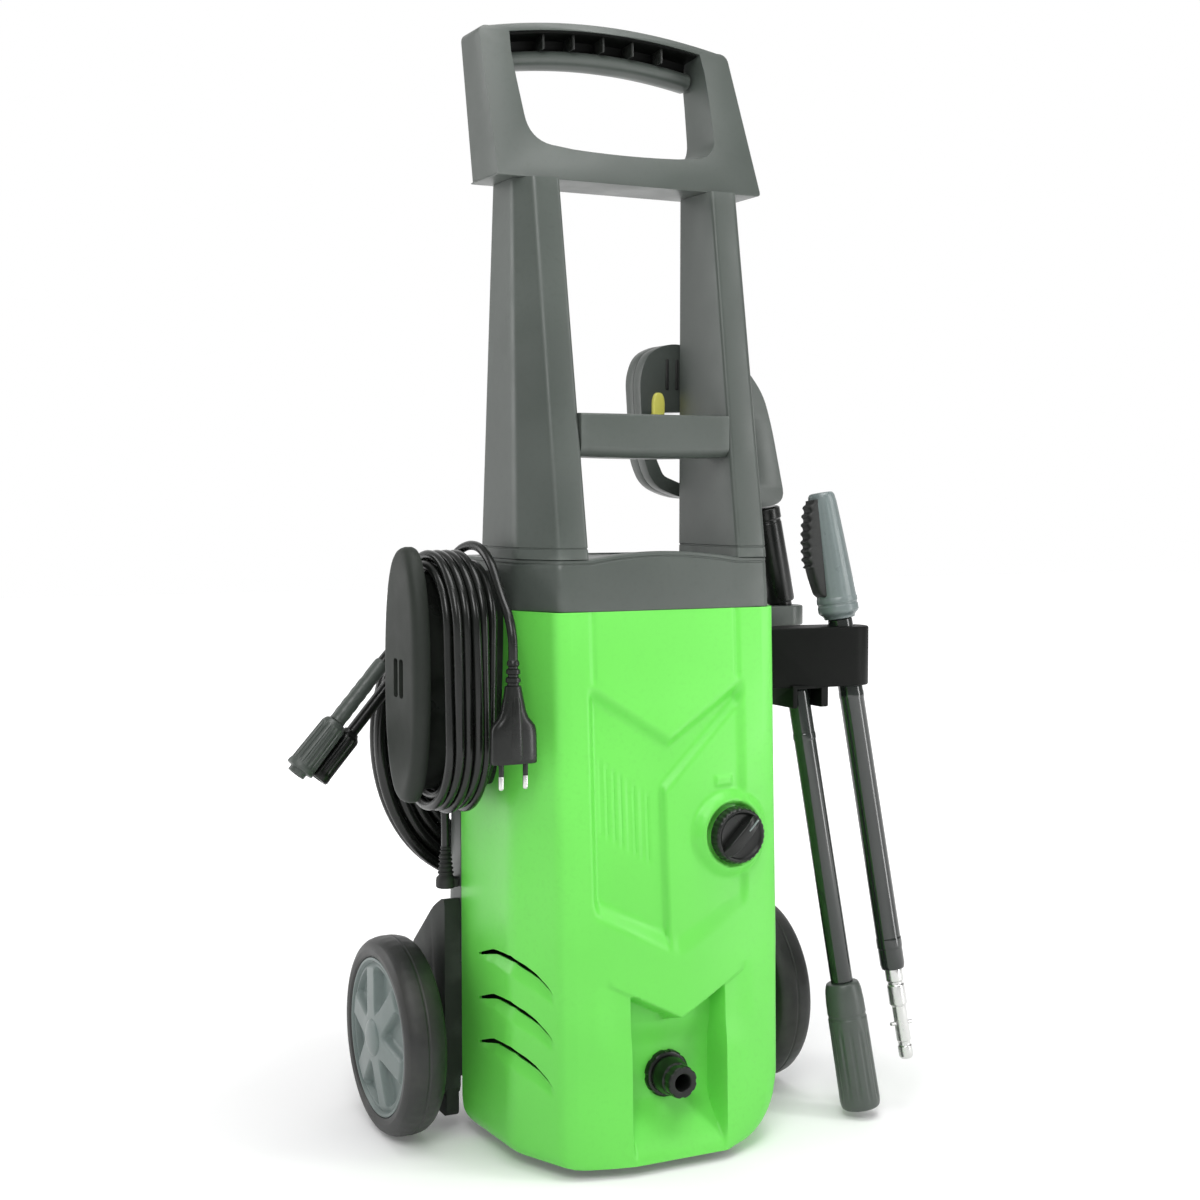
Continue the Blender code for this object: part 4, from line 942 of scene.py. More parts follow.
def collar_plan(forward, inset):
    side = back = COLLAR_HALF - inset
    corners = [(0.088, forward + 0.001 + inset), (side, -0.008 + inset), (side, back)]
    front = [0.004 * k for k in range(16)]
    plan = [Vector((x, forward - 0.0005 + inset + 0.0005 * (x / 0.06) ** 2)) for x in front]
    plan += [Vector((0.064, forward + inset)), Vector((0.072, forward + inset + 0.0003))]
    first = bent(plan[-1], corners[0], corners[1], 0.004, 3)
    second = bent(corners[0], corners[1], corners[2], 0.006, 4)
    third = bent(corners[1], corners[2], (0.0, back), 0.024 - inset, 6)
    plan += first + straight(first[-1], second[0], 6) + second + straight(second[-1], third[0], 10) + third
    plan += straight(third[-1], (0.0, back), 10)
    return plan + [Vector((0.0, back))]


def collar():
    rings = []
    levels = mm((0, 1.8), (0.2, 0.4), (1.2, 0), (30, 0), (33.5, 0), (34.1, 0.6), (34.9, 0.6), (35.5, 0),
                (36.9, 0), (37.7, 0.4), (38, 1.2), (38, 10), (37, 11), (37, 30))
    for rise, inset in levels:
        share = rise / 0.038
        half = collar_plan(-0.049 + 0.004 * share, inset)
        ring = []
        for mirrored in (1, -1):
            points = half if mirrored == 1 else list(reversed(half[1:-1]))
            for p in points:
                arch = 0.0055 * max(0.0, 1 - (p.x / 0.062) ** 2) * ease(rise / 0.030)
                if inset > 0.012 or p.y >= -0.02:
                    arch = 0.0
                ring.append(Vector((mirrored * p.x, p.y, SHELL_TOP + rise + arch - 0.0002)))
        rings.append(ring)
    show("top_collar_moulding", smooth(loft(rings), 40), DARK, "top_collar")


# Handle tower


def shrunk(outline, amount):
    """Outline moved inwards by a small amount."""
    count = len(outline)
    area = sum(outline[i - 1].x * outline[i].y - outline[i].x * outline[i - 1].y for i in range(count))
    turn = 1 if area > 0 else -1
    moved = []
    for i, point in enumerate(outline):
        along = (outline[(i + 1) % count] - outline[i - 1]).normalized()
        moved.append(point + Vector((-along.y, along.x)) * amount * turn)
    return moved


def upright(name, side):
    low = mm((63, -45), (88, -45), (107, -12), (108, -6), (108, 55), (63, 50))
    high = mm((65, 1), (87, 2), (96.5, 18), (97, 22), (97, 56), (65, 53))
    base, top = COLLAR_TOP, GRIP_LOW - 0.0003
    levels = [(base, 0.0), (0.4640, 0.0), (0.4645, 0.0006), (0.4652, 0.0006), (0.4657, 0.0)]
    levels += [(0.4657 + (top - 0.4657) * k / 24, 0.0) for k in range(1, 25)]
    rings = []
    for z, inset in levels:
        share = (z - base) / (top - base)
        plan = [Vector(a).lerp(Vector(b), share) for a, b in zip(low, high)]
        outline = shrunk(rounded([tuple(p) for p in plan], 0.0035, 4), inset)
        rings.append([Vector((side * p.x, p.y, z)) for p in outline])
    show(name + "_moulding", smooth(loft(rings), 35), DARK, name)


def crossbar():
    section = rounded(mm((-31, 565), (-31, 538.5), (-25.5, 533), (6, 533), (6, 565)), 0.003, 4)
    rings = []
    for k in range(17):
        x = -0.0632 + 0.1264 * k / 16
        sag = 0.0012 * (1 - (x / 0.0632) ** 2)
        rings.append([Vector((x, p.x, p.y - (sag if p.y < 0.55 else 0.0))) for p in section])
    show("crossbar_moulding", smooth(loft(rings), 35), DARK, "crossbar")


def grip_arch(x, drop=0.0):
    return 0.872 - 0.013 * (x / 0.109) ** 2 - drop


LOW_RAIL = (-0.045, -0.030, -0.015, 0.0, 0.015, 0.030, 0.045)
HIGH_RAIL = (0.07, 0.055, 0.04, 0.02, 0.0, -0.02, -0.04, -0.055, -0.07)


def grip_frame():
    spread = [0.100 - 0.010 * k for k in range(21)]
    outer = rounded([(-0.1150, GRIP_LOW), (0.1150, GRIP_LOW), (0.1095, 0.8545)], 0.004, 4)[:10]
    corner = bent((0.1150, GRIP_LOW), (0.1090, 0.8600), (0.090, grip_arch(0.09)), 0.006, 6)
    outer += corner + [Vector((x, grip_arch(x))) for x in spread]
    outer += [Vector((-p.x, p.y)) for p in reversed(corner)]
    low_left, low_right = (-0.0812, 0.7690), (0.0812, 0.7690)
    rim_end = Vector((0.0835, grip_arch(0.083, GRIP_RIM)))
    shoulder = [Vector((0.0840, 0.8200)), Vector((0.0848, 0.8420)), rim_end]
    window = bent((-0.0838, 0.8200), low_left, (0.0, 0.7650), 0.022, 9)
    window += [Vector((x, 0.7650 + 0.0040 * (x / 0.0812) ** 2)) for x in LOW_RAIL]
    window += bent((0.0, 0.7650), low_right, (0.0838, 0.8200), 0.022, 9)
    window += shoulder + [Vector((x, grip_arch(x, GRIP_RIM))) for x in HIGH_RAIL]
    window += [Vector((-p.x, p.y)) for p in reversed(shoulder)]
    mesh = plate([outer, window], 0.0, 1.0, "XZ")
    for vert in mesh.vertices:
        rear = vert.co.y > 0.5
        lift = vert.co.z - GRIP_LOW
        vert.co.y = 0.059 + lift * 0.246 if rear else 0.009 + lift * 0.373
    mesh = with_bevel(mesh, 0.0022, 3, 50)
    show("grip_frame_moulding", smooth(mesh, 35), DARK, "grip_frame")


def along_arch(section, rounding):
    """Bar that follows the underside of the grip's arch; the section is (y, height under the arch)."""
    half = 0.0823
    rings = []
    for k in range(33):
        x = -half + 2 * half * k / 32
        top = grip_arch(x, GRIP_RIM) - 0.0008
        outline = rounded([(y, top + z) for y, z in section], rounding, 5)
        rings.append([Vector((x, p.x, p.y)) for p in outline])
    return smooth(loft(rings), 40)


def grip_bar():
    bar = mm((90, -11), (90.5, -19), (85, -24.5), (76, -25.5), (67.2, -22.5), (65, -16.5), (69, -11.8))
    show("grip_bar_moulding", along_arch(bar, 0.0030), DARK, "grip_bar")
    # Deep black block over the grip bar's front, taken as black plastic, plus a thin deep black sheet under
    # the arch that paints the shade inside the recess.
    black_top_and_shade_sheet = mm((87, 0), (87, -12.5), (77.5, -12.5), (76, -3), (56, -1.2), (54.5, 0))
    show("grip_black_top_and_painted_shade", along_arch(black_top_and_shade_sheet, 0.0006), BLACK, body="machine", look="deep_black")
    for k in range(5):
        x = -0.052 + 0.026 * k
        top = grip_arch(abs(x) + 0.002, GRIP_RIM) - 0.0012
        rib = with_bevel(box((x - 0.0010, 0.0590, top - 0.0120), (x + 0.0010, 0.0790, top)), 0.0005, 2)
        show("grip_rib_%d" % k, smooth(rib), BLACK, body="machine")


# Wheels


def fender_skirt(label, side):
    """Lower edge of the chassis beside the wheel, down to the shell's rim."""
    outline = mm((76.5, 12.5), (129, 15), (140, 60), (76.5, 60))
    low, high = sorted((side * 0.1188, side * 0.1301))
    mesh = with_bevel(plate([rounded(outline, 0.006, 5)], low, high, "YZ"), 0.0010, 3, 50)
    show("fender_skirt_" + label, smooth(mesh, 40), DARK, body="machine", look="matte_black")


def wheel(label, side):
    centre = (side * WHEEL_CENTRE, AXLE_Y, WHEEL_R)
    outward = (side, 0, 0)

    def tread(angle, radius, height):
        if radius > 0.0765 and abs(height) > 0.0015:
            lug = math.cos(48 * angle + (0.5 if height > 0 else -0.5) * math.pi)
            radius -= 0.0002 * ease((lug + 0.2) / 0.35)
        return radius, height

    tyre = mm((62.4, 15), (64, 16.3), (68, 16.8), (71.2, 16), (74, 14.2), (76.2, 11.2), (77.4, 7.5),
              (77.9, 4), (78, 1.2), (77.6, 0.6), (77.6, -0.6), (78, -1.2), (77.9, -4), (77.4, -7.5),
              (76.2, -11.2), (74, -14.2), (71.2, -16), (68, -16.8), (64, -16.3), (62.4, -15))
    show("tyre_%s_tread" % label, lathe(tyre, centre, outward, 288, tread, 0.0004), "tyre_rubber",
         "tyre_" + label)

    def petals(angle, radius, height):
        if height > 0.0088 and 0.0175 < radius < 0.0572:
            aside = abs((math.degrees(angle) + 15) % 60 - 30)
            across = radius * math.sin(math.radians(aside))
            hollow = ease((across - 0.0078) / 0.0050) * ease((radius - 0.0185) / 0.0090)
            height -= 0.0066 * (hollow * ease((0.0566 - radius) / 0.0050))
        if height > 0.0020:
            height += RIM_BULGE * ease((0.0605 - radius) / 0.0070)
        return radius, height

    face = mm((6.3, 14.2), (14.5, 14.6))
    face += [(0.0160 + 0.0014 * k, 0.0146 - 0.00012 * k) for k in range(1, 30)]
    face += mm((58, 11.4), (59, 13.8), (60, 15.2), (61.8, 15.2), (62.1, 14), (62.1, -15), (58.5, -15),
               (52, -2), (30, -5), (16.5, -5.5), (14.5, -18.5), (6.3, -18.5))
    show("rim_%s_petals" % label, lathe(face, centre, outward, 240, petals, 0.0004, 40), "rim_plastic",
         "rim_" + label)
    cap = mm((0, 18), (6, 17.8), (10.5, 17.1), (13.5, 15.8), (14.8, 14.5), (14.8, 13), (0, 13))
    cap = [(radius, height + RIM_BULGE) for radius, height in cap]
    show("hub_cap_%s_dome" % label, lathe(cap, centre, outward, 64), "rim_plastic", "hub_cap_" + label)


# Switch and inlet


def knob():
    forward = (0, -1, 0)

    def ribs(angle, radius, height):
        if radius > 0.0190 and 0.0008 < height < 0.0085:
            radius -= 0.0005 * ease((math.cos(30 * angle) + 0.1) / 0.8)
        return radius, height

    dial = mm((0, 6.8), (12, 6.8), (16.5, 7.2), (17.8, 8.8), (19.2, 9.2), (20.6, 8.2), (21.6, 6), (22, 3.5),
              (22, 1), (21.4, 0), (6.8, -0.2), (6.8, -16.5), (0, -16.5))
    show("selector_knob_dial", lathe(dial, KNOB, forward, 180, ribs, 0.0005), BLACK, "selector_knob")
    turn = math.radians(45)
    rings = []
    for k in range(25):
        share = -1 + 2 * k / 24
        along = 0.0188 * share
        fall = 1 - 0.30 * abs(share) ** 4
        wide = 0.0044 * (1 - 0.35 * abs(share) ** 6)
        foot, top = wide * 1.25, 0.0138 * fall
        section = [(-foot, 0.0055), (-wide, top), (wide, top), (foot, 0.0055)]
        rings.append([Vector((along, p.x, p.y)) for p in rounded(section, 0.0014, 4)])
    grip = loft(rings)
    smooth(grip, 40)
    show("selector_knob_grip", placed(grip, KNOB, forward, turn), BLACK, body="knob")
    # Light grey pointer strip along one half of the ridge; it also paints the highlight that runs along the
    # ridge's edge.
    pointer_and_painted_highlight = with_bevel(box((0.0060, -0.0006, 0.0128), (0.0172, 0.0006, 0.0141)), 0.0003, 2)
    smooth(pointer_and_painted_highlight)
    show("selector_knob_pointer_and_painted_highlight", placed(pointer_and_painted_highlight, KNOB, forward, turn), "rim_plastic", body="knob")


def water_inlet():
    forward = (0, -1, 0)

    def lugs(angle, radius, height):
        if radius > 0.0170 and height > -0.004:
            radius -= 0.0009 * ease((math.cos(8 * angle) - 0.55) / 0.3)
        return radius, height

    ring = mm((10.5, 4.8), (11.2, 5.4), (16, 5.4), (17.4, 4.6), (18, 3), (18, -12), (15, -12.5), (15, -24),
              (10.5, -24))
    show("inlet_collar_ring", lathe(ring, INLET, forward, 144, lugs), BLACK, "inlet_collar")

    def facets(angle, radius, height):
        if radius > 0.0100 and 0.0180 < height < 0.0285:
            radius -= 0.0007 * ease((math.cos(8 * angle) - 0.2) / 0.6)
        return radius, height

    nose = mm((6.2, 26.5), (7, 28.4), (11.2, 28.4), (12.2, 27.4), (12.4, 22), (12, 20.5), (11.2, 20),
              (11.2, 18.8), (12.4, 18.2), (13.2, 15), (14.2, 11), (14.6, 8), (14.5, 5.6), (10.2, 5.6),
              (10.2, -10), (6.2, -10))
    show("inlet_coupler_nose", lathe(nose, INLET, forward, 128, facets), BLACK, "inlet_coupler")


# Cord hook, gland, plug


def body_side(y, z):
    if z > SHELL_TOP:
        return COLLAR_HALF
    front, back = lerp_table(z, SIDE_Y), lerp_table(z, REAR_EDGE_Y)
    share = min(1.0, max(0.0, (y - front) / (back - front)))
    return lerp_table(z, SIDE_X) * (1 - share) + lerp_table(z, REAR_X) * share


def cord_hook():
    hub = plate([oval((0.0190, 0.0815), 72, 2.6, (HUB_Y, HUB_Z))], -0.1722, -0.1200, "YZ")
    for vert in hub.vertices:
        if vert.co.x > -0.15:
            vert.co.x = -(body_side(vert.co.y, vert.co.z) - 0.0005)
    show("cord_hook_hub", smooth(hub, 40), BLACK, "cable_hook_hub")
    rings = []
    for x, inset in mm((-172.3, 6), (-172.4, 3), (-173.2, 1), (-175, 0), (-179, 0), (-181.5, 0.8),
                       (-183.5, 2.2), (-185, 4.5), (-185.6, 7.2), (-185.7, 10)):
        outline = oval((0.0350 - inset, 0.0955 - inset), 96, 2.3, (HUB_Y, 0.3705))
        rings.append([Vector((x, p.x, p.y)) for p in outline])
    board = loft(rings)
    pockets = []
    for low, high in mm((18, 26.5), (29.5, 38)):
        pocket = plate([rounded([(low, 0.3540), (high, 0.3540), (high, 0.3830), (low, 0.3830)], 0.003, 5)],
                       -0.20, -0.1790, "YZ")
        pockets.append(pocket)
    board = combined(board, pockets)
    show("cord_hook_plate", smooth(board, 35), DARK, "cable_hook_plate", look="matte_black")


def gland():
    def slots(angle, radius, height):
        ring = (height - 0.2045) / 0.0034
        if 0.2045 < height < 0.2255 and ring % 1.0 < 0.42:
            radius -= 0.0011
        return radius, height

    profile = mm((0, 228.5), (3, 228.5), (4, 227.5))
    profile += [(0.0042 + 0.0024 * k / 26, 0.2270 - 0.00085 * k) for k in range(27)]
    profile += mm((7.4, 203), (7.8, 201), (7.8, 196), (7, 195), (0, 195))
    relief_mesh = lathe(profile, (GLAND_X, GLAND_Y, 0), (0, 0, 1), 48, slots, 0.0001)
    made = show("strain_relief", relief_mesh, "black_rubber", "cable_gland")
    base = with_bevel(box((GLAND_X, 0.0790, 0.1955), (-0.1170, 0.0910, 0.2025)), 0.0012, 3)
    show("strain_relief_foot", smooth(base), "black_rubber", body="machine")
    return made


def plug():
    centre = Vector((-0.1275, -0.0510))
    sections = mm((386.2, 3.6, 3.6), (385, 4.4, 4.4), (382.5, 4.6, 4.6), (381.7, 3.6, 3.6),
                  (380.2, 3.6, 3.6), (379.4, 5, 5), (376.5, 5.2, 5.2), (375.7, 3.9, 3.9), (374.2, 3.9, 3.9),
                  (373.4, 5.4, 5.3), (370.5, 5.6, 5.5), (369.7, 4.3, 4.3), (368.2, 4.3, 4.3),
                  (367.4, 6, 5.6), (360, 7.2, 6), (350, 9.2, 6.5), (345, 11.2, 6.7), (341.5, 14.2, 6.8),
                  (339, 16.2, 6.9), (336, 17.1, 7), (330, 17.5, 7.1), (320, 17.7, 7.2), (315, 17.8, 7.2),
                  (312.5, 17.7, 7.1), (311.6, 17, 6.4))
    rings = []
    for z, wide, deep in sections:
        power = 2.0 + 1.1 * ease((0.372 - z) / 0.04)
        rings.append([Vector((p.x, p.y, z)) for p in oval((wide, deep), 64, power, centre)])
    body = show("plug_moulding", smooth(loft(rings), 40), BLACK, "plug_body")
    pieces = [body]
    rib_rings = []
    for z, wide, deep in mm((360, 3, 6.4), (356, 4.2, 7.4), (345, 5.2, 8), (330, 5.8, 8.4), (318, 6, 8.4),
                            (314, 5.4, 7.6)):
        rib_rings.append([Vector((p.x, p.y, z)) for p in oval((wide, deep), 48, 3.0, centre)])
    rib = loft(rib_rings)
    smooth(rib, 40)
    pieces.append(show("plug_rib", rib, BLACK, body="machine"))
    for label, offset in (("left", -0.0095), ("right", 0.0095)):
        place = (centre.x + offset, centre.y, 0)
        tip = mm((0, 302.5), (2, 302.5), (2, 294), (1.4, 292.8), (0.6, 292.4), (0, 292.4))
        pieces.append(show("pin_%s_tip" % label, lathe(tip, place, steps=32, soft=0.0002), "bright_steel",
                           "plug_pin_" + label))
        cuff = mm((0, 312.5), (1.95, 312.5), (1.9, 302.5), (0, 302.5))
        pieces.append(show("pin_%s_cuff" % label, lathe(cuff, place, steps=32, soft=0.0002), BLACK,
                           body="machine"))
    return pieces


# Hose fittings


def hose_fittings():
    up = -HOSE_LEAN

    def cuff_rings(angle, radius, height):
        if 0.052 < height < 0.0985 and int((height - 0.052) / 0.0046) % 2 == 0 and radius > 0.0059:
            radius -= 0.0003
        return radius, height

    sleeve = mm((0, 109.5), (5.2, 109.5), (6, 108), (6.2, 105))
    sleeve += [(0.0062 + 0.0003 * k / 20, 0.1050 - 0.0026 * k) for k in range(1, 21)]
    sleeve += mm((6.4, 51), (0, 51))
    sleeve_mesh = lathe(sleeve, HOSE_TIP_A, up, 48, cuff_rings, 0.0002)
    sleeve_piece = show("hose_sleeve", sleeve_mesh, DARK, "hose_sleeve_a")

    def flutes(count, low, high, depth):
        def moved(angle, radius, height):
            if low < height < high and radius > 0.0075:
                ends = ease((height - low) / 0.002) * ease((high - height) / 0.002)
                radius -= depth * ends * ease((math.cos(count * angle) + 0.25) / 0.7)
            return radius, height
        return moved

    long_nut = mm((0, 50.6), (7, 50.6), (8.5, 49.5), (9.4, 47.5))
    long_nut += [(0.0100 + 0.0008 * k / 14, 0.0460 - 0.0026 * k) for k in range(15)]
    long_nut += mm((11.2, 8.5), (11.6, 7), (11.6, 5), (11, 4.4), (7.6, 4.2), (7.2, 3.5), (7.2, 0), (5, 0),
                   (5, 12), (0, 12))
    show("hose_nut_long", lathe(long_nut, HOSE_TIP_A, up, 192, flutes(16, 0.0105, 0.0450, 0.0010), 0.0003),
         DARK, "hose_nut_a")
    short_nut = mm((0, 45.2), (6, 45.2), (6.8, 43.5), (8.8, 41.5))
    short_nut += [(0.0095, 0.0395 - 0.0026 * k) for k in range(14)]
    short_nut += mm((9.8, 4.5), (9.8, 1.6), (9, 0), (5.6, 0), (5.6, 11), (0, 11))
    short_mesh = lathe(short_nut, HOSE_TIP_B, up, 192, flutes(14, 0.0060, 0.0390, 0.0009), 0.0003)
    short_piece = show("hose_nut_short", short_mesh, BLACK, "hose_nut_b")
    return sleeve_piece, short_piece


def hose_hook():
    under, top = 0.3705, 0.3834
    foot = [(lerp_table(z, BACK_Y) - 0.0003, z) for z in (0.298, 0.358)]
    profile = foot + [(0.1300, top), (0.1640, top), (0.1640, 0.4490), (0.1720, 0.4490), (0.1720, under),
                      (0.1380, under), (0.1300, 0.338), (0.1250, 0.298)]
    mesh = with_bevel(plate([rounded(profile, 0.003, 4)], -0.085, -0.051, "YZ"), 0.0012, 3, 50)
    show("hose_hook_bracket", smooth(mesh, 35), DARK, "hose_hook")


# Lances


def lance_bracket():
    around = [Vector((TURBO.x, TURBO.y)) + Vector((math.cos(a), math.sin(a))) * 0.0185
              for a in (math.radians(100 - 200 * k / 32) for k in range(33))]
    outline = [Vector((0.112, -0.008)), Vector((0.112, 0.020)), Vector((0.160, 0.0195))] + around
    outline += [Vector((0.160, -0.0200))]
    mesh = plate([outline], 0.350, 0.398, "XY")
    for vert in mesh.vertices:
        if vert.co.x < 0.12:
            vert.co.x = body_side(vert.co.y, vert.co.z) - 0.0004
    mesh = with_bevel(mesh, 0.0014, 3, 50)
    clip = with_bevel(box((0.131, -0.0175, 0.334), (0.165, 0.0170, 0.352)), 0.0012, 3)
    mesh = combined(mesh, [clip], "UNION")
    top = SPRAY - LANCE_DOWN * 0.0065
    mouth = box((top.x - 0.0120, -0.05, 0.32), (top.x + 0.0110, top.y, 0.3493))
    holes = [cylinder(TURBO, LANCE_DOWN, 0.0112, 0.12), cylinder(top, LANCE_DOWN, 0.0100, 0.0260)]
    mesh = combined(mesh, holes + [mouth])
    show("lance_bracket_moulding", smooth(mesh, 35), BLACK, "lance_bracket", look="deep_black")


def turbo_lance():
    up = -LANCE_DOWN
    tube = mm((0, 30.9), (9.4, 30.9), (10, 30), (10, -29), (10.3, -30), (10.3, -34), (10, -35), (10, -234),
              (10.4, -235), (10.4, -242), (10, -243), (10, -256), (9.2, -260), (0, -260))
    show("turbo_tube", lathe(tube, TURBO, up, 72, soft=0.0004), BLACK, "turbo_lance_tube", look="gloss_black")

    def panels(angle, radius, height):
        if 0.048 < height < 0.128 and radius > 0.010:
            radius += 0.0003 * ease(math.cos(10 * angle))
        return radius, height

    head = mm((0, 135), (8, 135), (9.6, 134.3), (10.8, 132.5))
    head += [(0.0110 + (0.0158 - 0.0110) * (k / 20) ** 0.85, 0.1310 - 0.0041 * k) for k in range(21)]
    head += mm((16.3, 48), (16.7, 46), (16.7, 44.5), (16, 43.8), (16, 42.5), (16.6, 41.8), (16.6, 37.5),
               (15.8, 35.8), (14, 34.5), (12.8, 33), (12.5, 31.2), (0, 31.2))
    show("turbo_head", lathe(head, TURBO, up, 120, panels, 0.0004), DARK, "turbo_nozzle", look="blue_grey")
    spine = []
    for k in range(61):
        share = k / 60
        height = 0.0460 + 0.0840 * share
        tooth = 0.0022 * ease((math.sin(share * math.pi * 24) + 0.3) / 0.8) if 0.36 < share < 0.97 else 0.0
        bulge = 0.0230 - 0.0060 * abs(share - 0.42) ** 1.6 * 4
        edge = ease(share / 0.10) * ease((1 - share) / 0.08)
        far = 0.0120 + (bulge - 0.0120) * edge + tooth
        section = rounded([(-far, -0.0068), (-far, 0.0068), (-0.0080, 0.0080), (-0.0080, -0.0080)], 0.0030, 4)
        spine.append([Vector((p.x, p.y, height)) for p in section])
    strip = loft(spine)
    smooth(strip, 45)
    show("turbo_grip_strip", placed(strip, TURBO, up), "black_rubber", body="turbo_lance")
    tail = mm((0, -260), (7.2, -260), (7.2, -270), (6.2, -270.8), (6.2, -273), (7.2, -273.8), (7.2, -289.5),
              (5.8, -291.5), (5.8, -320), (5, -320.8), (5, -324), (5.8, -324.8), (5.8, -333), (4.5, -335),
              (0, -335))
    show("turbo_tail", lathe(tail, TURBO, up, 64, soft=0.0003), "bright_steel", "turbo_bayonet")
    pin = mm((0, 10.5), (1.2, 10.5), (1.6, 10), (1.6, -10), (1.2, -10.5), (0, -10.5))
    show("turbo_tail_pin", lathe(pin, TURBO + LANCE_DOWN * 0.306, (1, 0, 0), 32, soft=0.0002), "bright_steel",
         body="turbo_lance")


def spray_lance():
    up = -LANCE_DOWN
    tube = mm((0, 17), (8, 17), (8.8, 16), (9, 14.5), (9, -19), (9.4, -20), (9.4, -24), (9, -25),
              (9, -224.5), (0, -224.5))
    show("spray_tube", lathe(tube, SPRAY, up, 72, soft=0.0004), BLACK, "spray_lance_tube", look="gloss_black")

    def facets(angle, radius, height):
        if -0.3200 < height < -0.2640 and radius > 0.0135:
            radius -= 0.0007 * ease((math.cos(12 * angle) - 0.3) / 0.5)
        return radius, height

    sleeve = mm((0, -224.6), (11.5, -224.6), (12.9, -225.2), (13.7, -227), (14.7, -231), (15.4, -240),
                (15.6, -250), (15.2, -251), (15.2, -253), (15.8, -254))
    sleeve += [(0.0158 + 0.00004 * k, -0.2580 - 0.0045 * k) for k in range(15)]
    sleeve += mm((16, -324.5), (15.4, -326.8), (14.2, -328), (8, -328), (7.6, -320), (0, -320))
    show("spray_sleeve", lathe(sleeve, SPRAY, up, 144, facets, 0.0004), BLACK, "spray_lance_sleeve",
         look=DARK)


# Spray gun


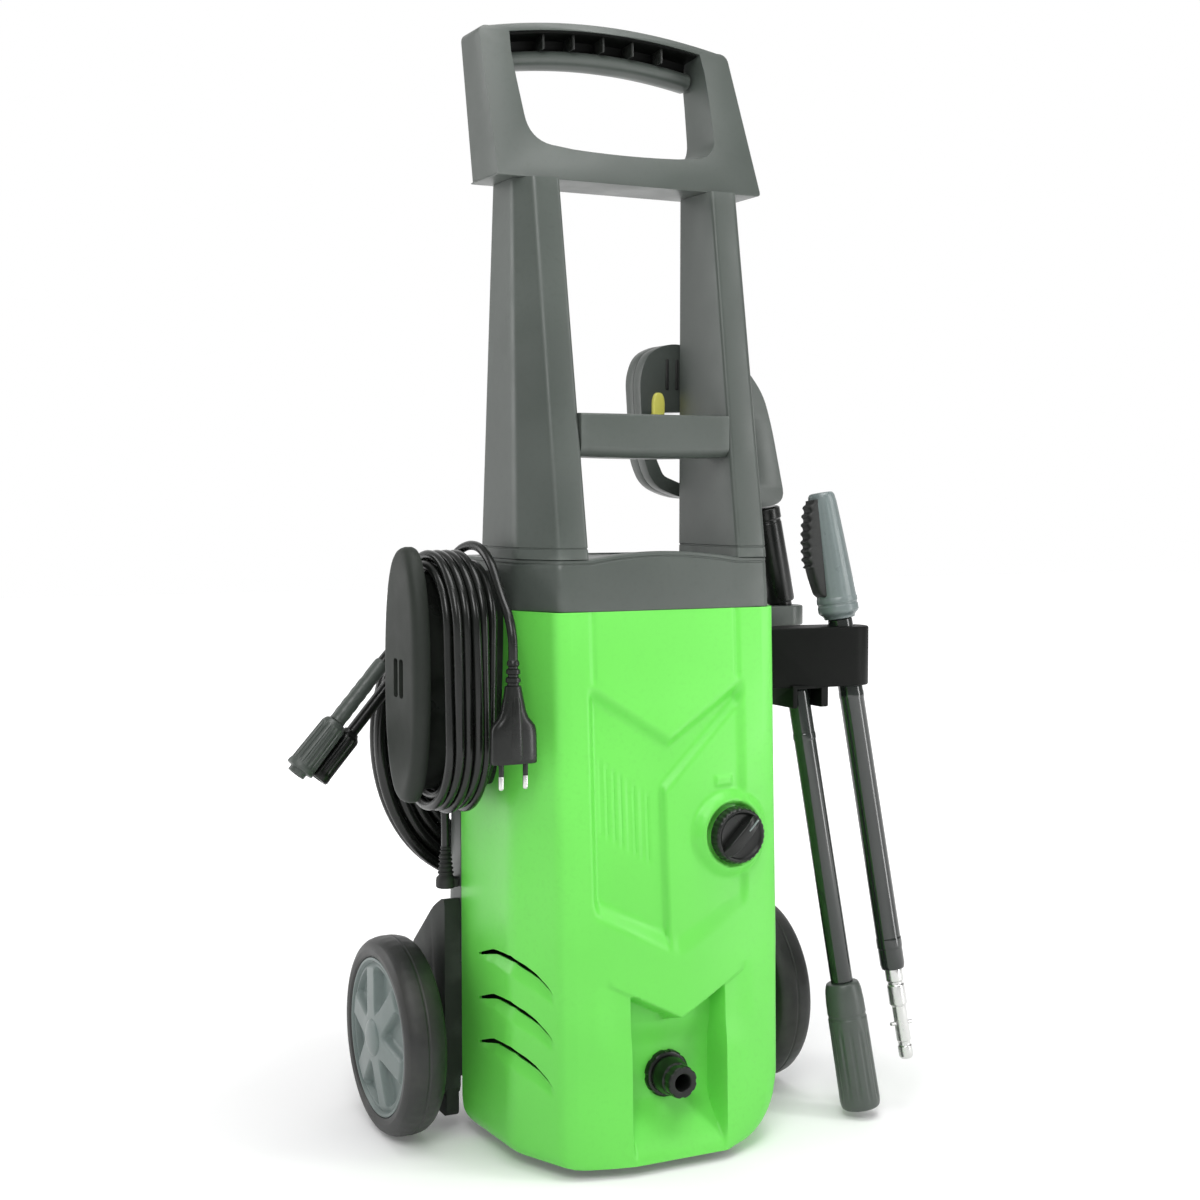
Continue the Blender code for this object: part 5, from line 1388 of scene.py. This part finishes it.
def gun():
    outer = mm((37, 600), (44, 619), (64, 628), (100, 624), (135, 612), (154.5, 588), (163, 560),
               (176.5, 498.5), (148, 492.5), (120, 500), (75, 502), (50, 512), (40, 535), (39, 565))
    window = mm((46, 571), (118, 574), (135, 570), (140, 550), (141, 515), (118, 511), (80, 512), (59, 520),
                (52, 535), (46, 550))
    halves = (("left", GUN_Y - GUN_HALF, GUN_Y - SEAM), ("right", GUN_Y + SEAM, GUN_Y + GUN_HALF))
    for label, low, high in halves:
        mesh = plate([rounded(outer, 0.012, 5), rounded(window, 0.004, 3)], low, high, "XZ")
        outward = -1 if label == "left" else 1
        mesh = with_bevel(mesh, 0.0009, 2, 50)
        face = GUN_Y + outward * GUN_HALF
        for vert in mesh.vertices:
            if abs(vert.co.y - face) < 0.002:
                crown = 0.0035 * ease((vert.co.z - 0.58) / 0.03)
                vert.co.y -= outward * (0.0012 - crown * 0.2)
        show("gun_half_" + label, smooth(mesh, 40), DARK, "gun_body")
    core = plate([rounded(mm((40, 598), (46, 616), (64, 625.5), (99, 621.5), (133.5, 610), (152, 587),
                             (150, 560), (140, 583), (90, 583.5)), 0.008, 4)],
                 GUN_Y - 0.002, GUN_Y + 0.002, "XZ")
    show("gun_core", smooth(core), BLACK, body="gun")
    for k in range(7):
        x = 0.062 + 0.009 * k
        rib = box((x - 0.0016, GUN_Y - 0.0142, 0.5900), (x + 0.0016, GUN_Y + 0.0142, 0.6150))
        rib = with_bevel(rib, 0.0011, 3)
        show("gun_grip_rib_%d" % k, smooth(rib), "black_rubber", body="gun")
    up = -GUN_DOWN
    barrel = mm((0, -3), (11, -3), (13, -4.5), (13, -13), (12, -14), (12, -16), (12.5, -17), (12.5, -83),
                (11.8, -85), (9.5, -85), (9.5, -113.5), (8.5, -115), (6, -115), (6, -95), (0, -95))
    show("gun_barrel_tube", lathe(barrel, GUN_NECK, up, 72, soft=0.0004), BLACK, "gun_barrel")
    lever = mm((132, 570), (132, 560), (120, 548), (95, 543), (68, 542), (64, 548), (70, 555), (95, 557),
               (115, 566), (124, 571))
    trigger = with_bevel(plate([rounded(lever, 0.003, 4)], GUN_Y - 0.008, GUN_Y + 0.008, "XZ"), 0.0018, 3, 50)
    show("trigger_lever", smooth(trigger), BLACK, "gun_trigger")
    outline = oval((0.0056, 0.0120), 40, 2.6, (0.0, 0.0030))
    tab = [Vector((LOCK_PIVOT.x + p.x, LOCK_PIVOT.z + p.y)) for p in outline]
    lock = with_bevel(plate([tab], GUN_Y - 0.0158, GUN_Y + 0.0158, "XZ"), 0.0014, 3, 50)
    show("trigger_lock_tab", smooth(lock), "yellow_plastic", "gun_trigger_lock")


def gun_holder():
    seat = GUN_NECK + GUN_DOWN * 0.095
    around = [Vector((seat.x, seat.y)) + Vector((math.cos(a), math.sin(a))) * 0.0175
              for a in (math.radians(110 - 210 * k / 32) for k in range(33))]
    outline = [Vector((0.110, 0.060)), Vector((0.110, 0.083)), Vector((0.160, 0.0930))] + around
    mesh = plate([outline], 0.394, 0.4106, "XY")
    for vert in mesh.vertices:
        if vert.co.x < 0.12:
            vert.co.x = lerp_table(vert.co.z, REAR_X) - 0.0003
    mesh = with_bevel(mesh, 0.0012, 3, 50)
    mesh = combined(mesh, [cylinder(seat, GUN_DOWN, 0.0105, 0.06)])
    show("gun_holder_ring", smooth(mesh, 35), DARK, "gun_holder")


# Inner parts and build

cord_piece = power_cord()
hose_piece, hose_exit = pressure_hose()
strain_relief = gland()
plug_pieces = plug()
sleeve_piece, short_nut_piece = hose_fittings()

front_shell()
rear_shell()
collar()
for label, side in SIDES:
    upright("upright_" + label, side)
crossbar()
grip_frame()
grip_bar()
for label, side in SIDES:
    fender_skirt(label, side)
for label, side in SIDES:
    wheel(label, side)
knob()
water_inlet()
cord_hook()
hose_hook()
lance_bracket()
turbo_lance()
spray_lance()
gun()
gun_holder()
refined("chassis", DARK, 0.0015, 3, look="matte_black")
refined("front_foot", "black_rubber", 0.0010, 2)

CARRIED = {
    "axle": "motor_steel", "switch_box": BLACK, "motor_stator": "motor_steel",
    "motor_rotor": "motor_steel", "cooling_fan": BLACK, "wobble_plate": "motor_steel",
    "pump_housing": "cast_aluminium", "pump_head": "cast_aluminium", "piston_1": "bright_steel",
    "piston_2": "bright_steel", "piston_3": "bright_steel", "unloader_valve": "brass",
    "capacitor": "rim_plastic", "outlet_fitting": "brass",
}
for node, slot_name in CARRIED.items():
    node_mesh = frame["nodes"][node].data
    node_mesh.materials.clear()
    node_mesh.materials.append(FINISHES[slot_name])
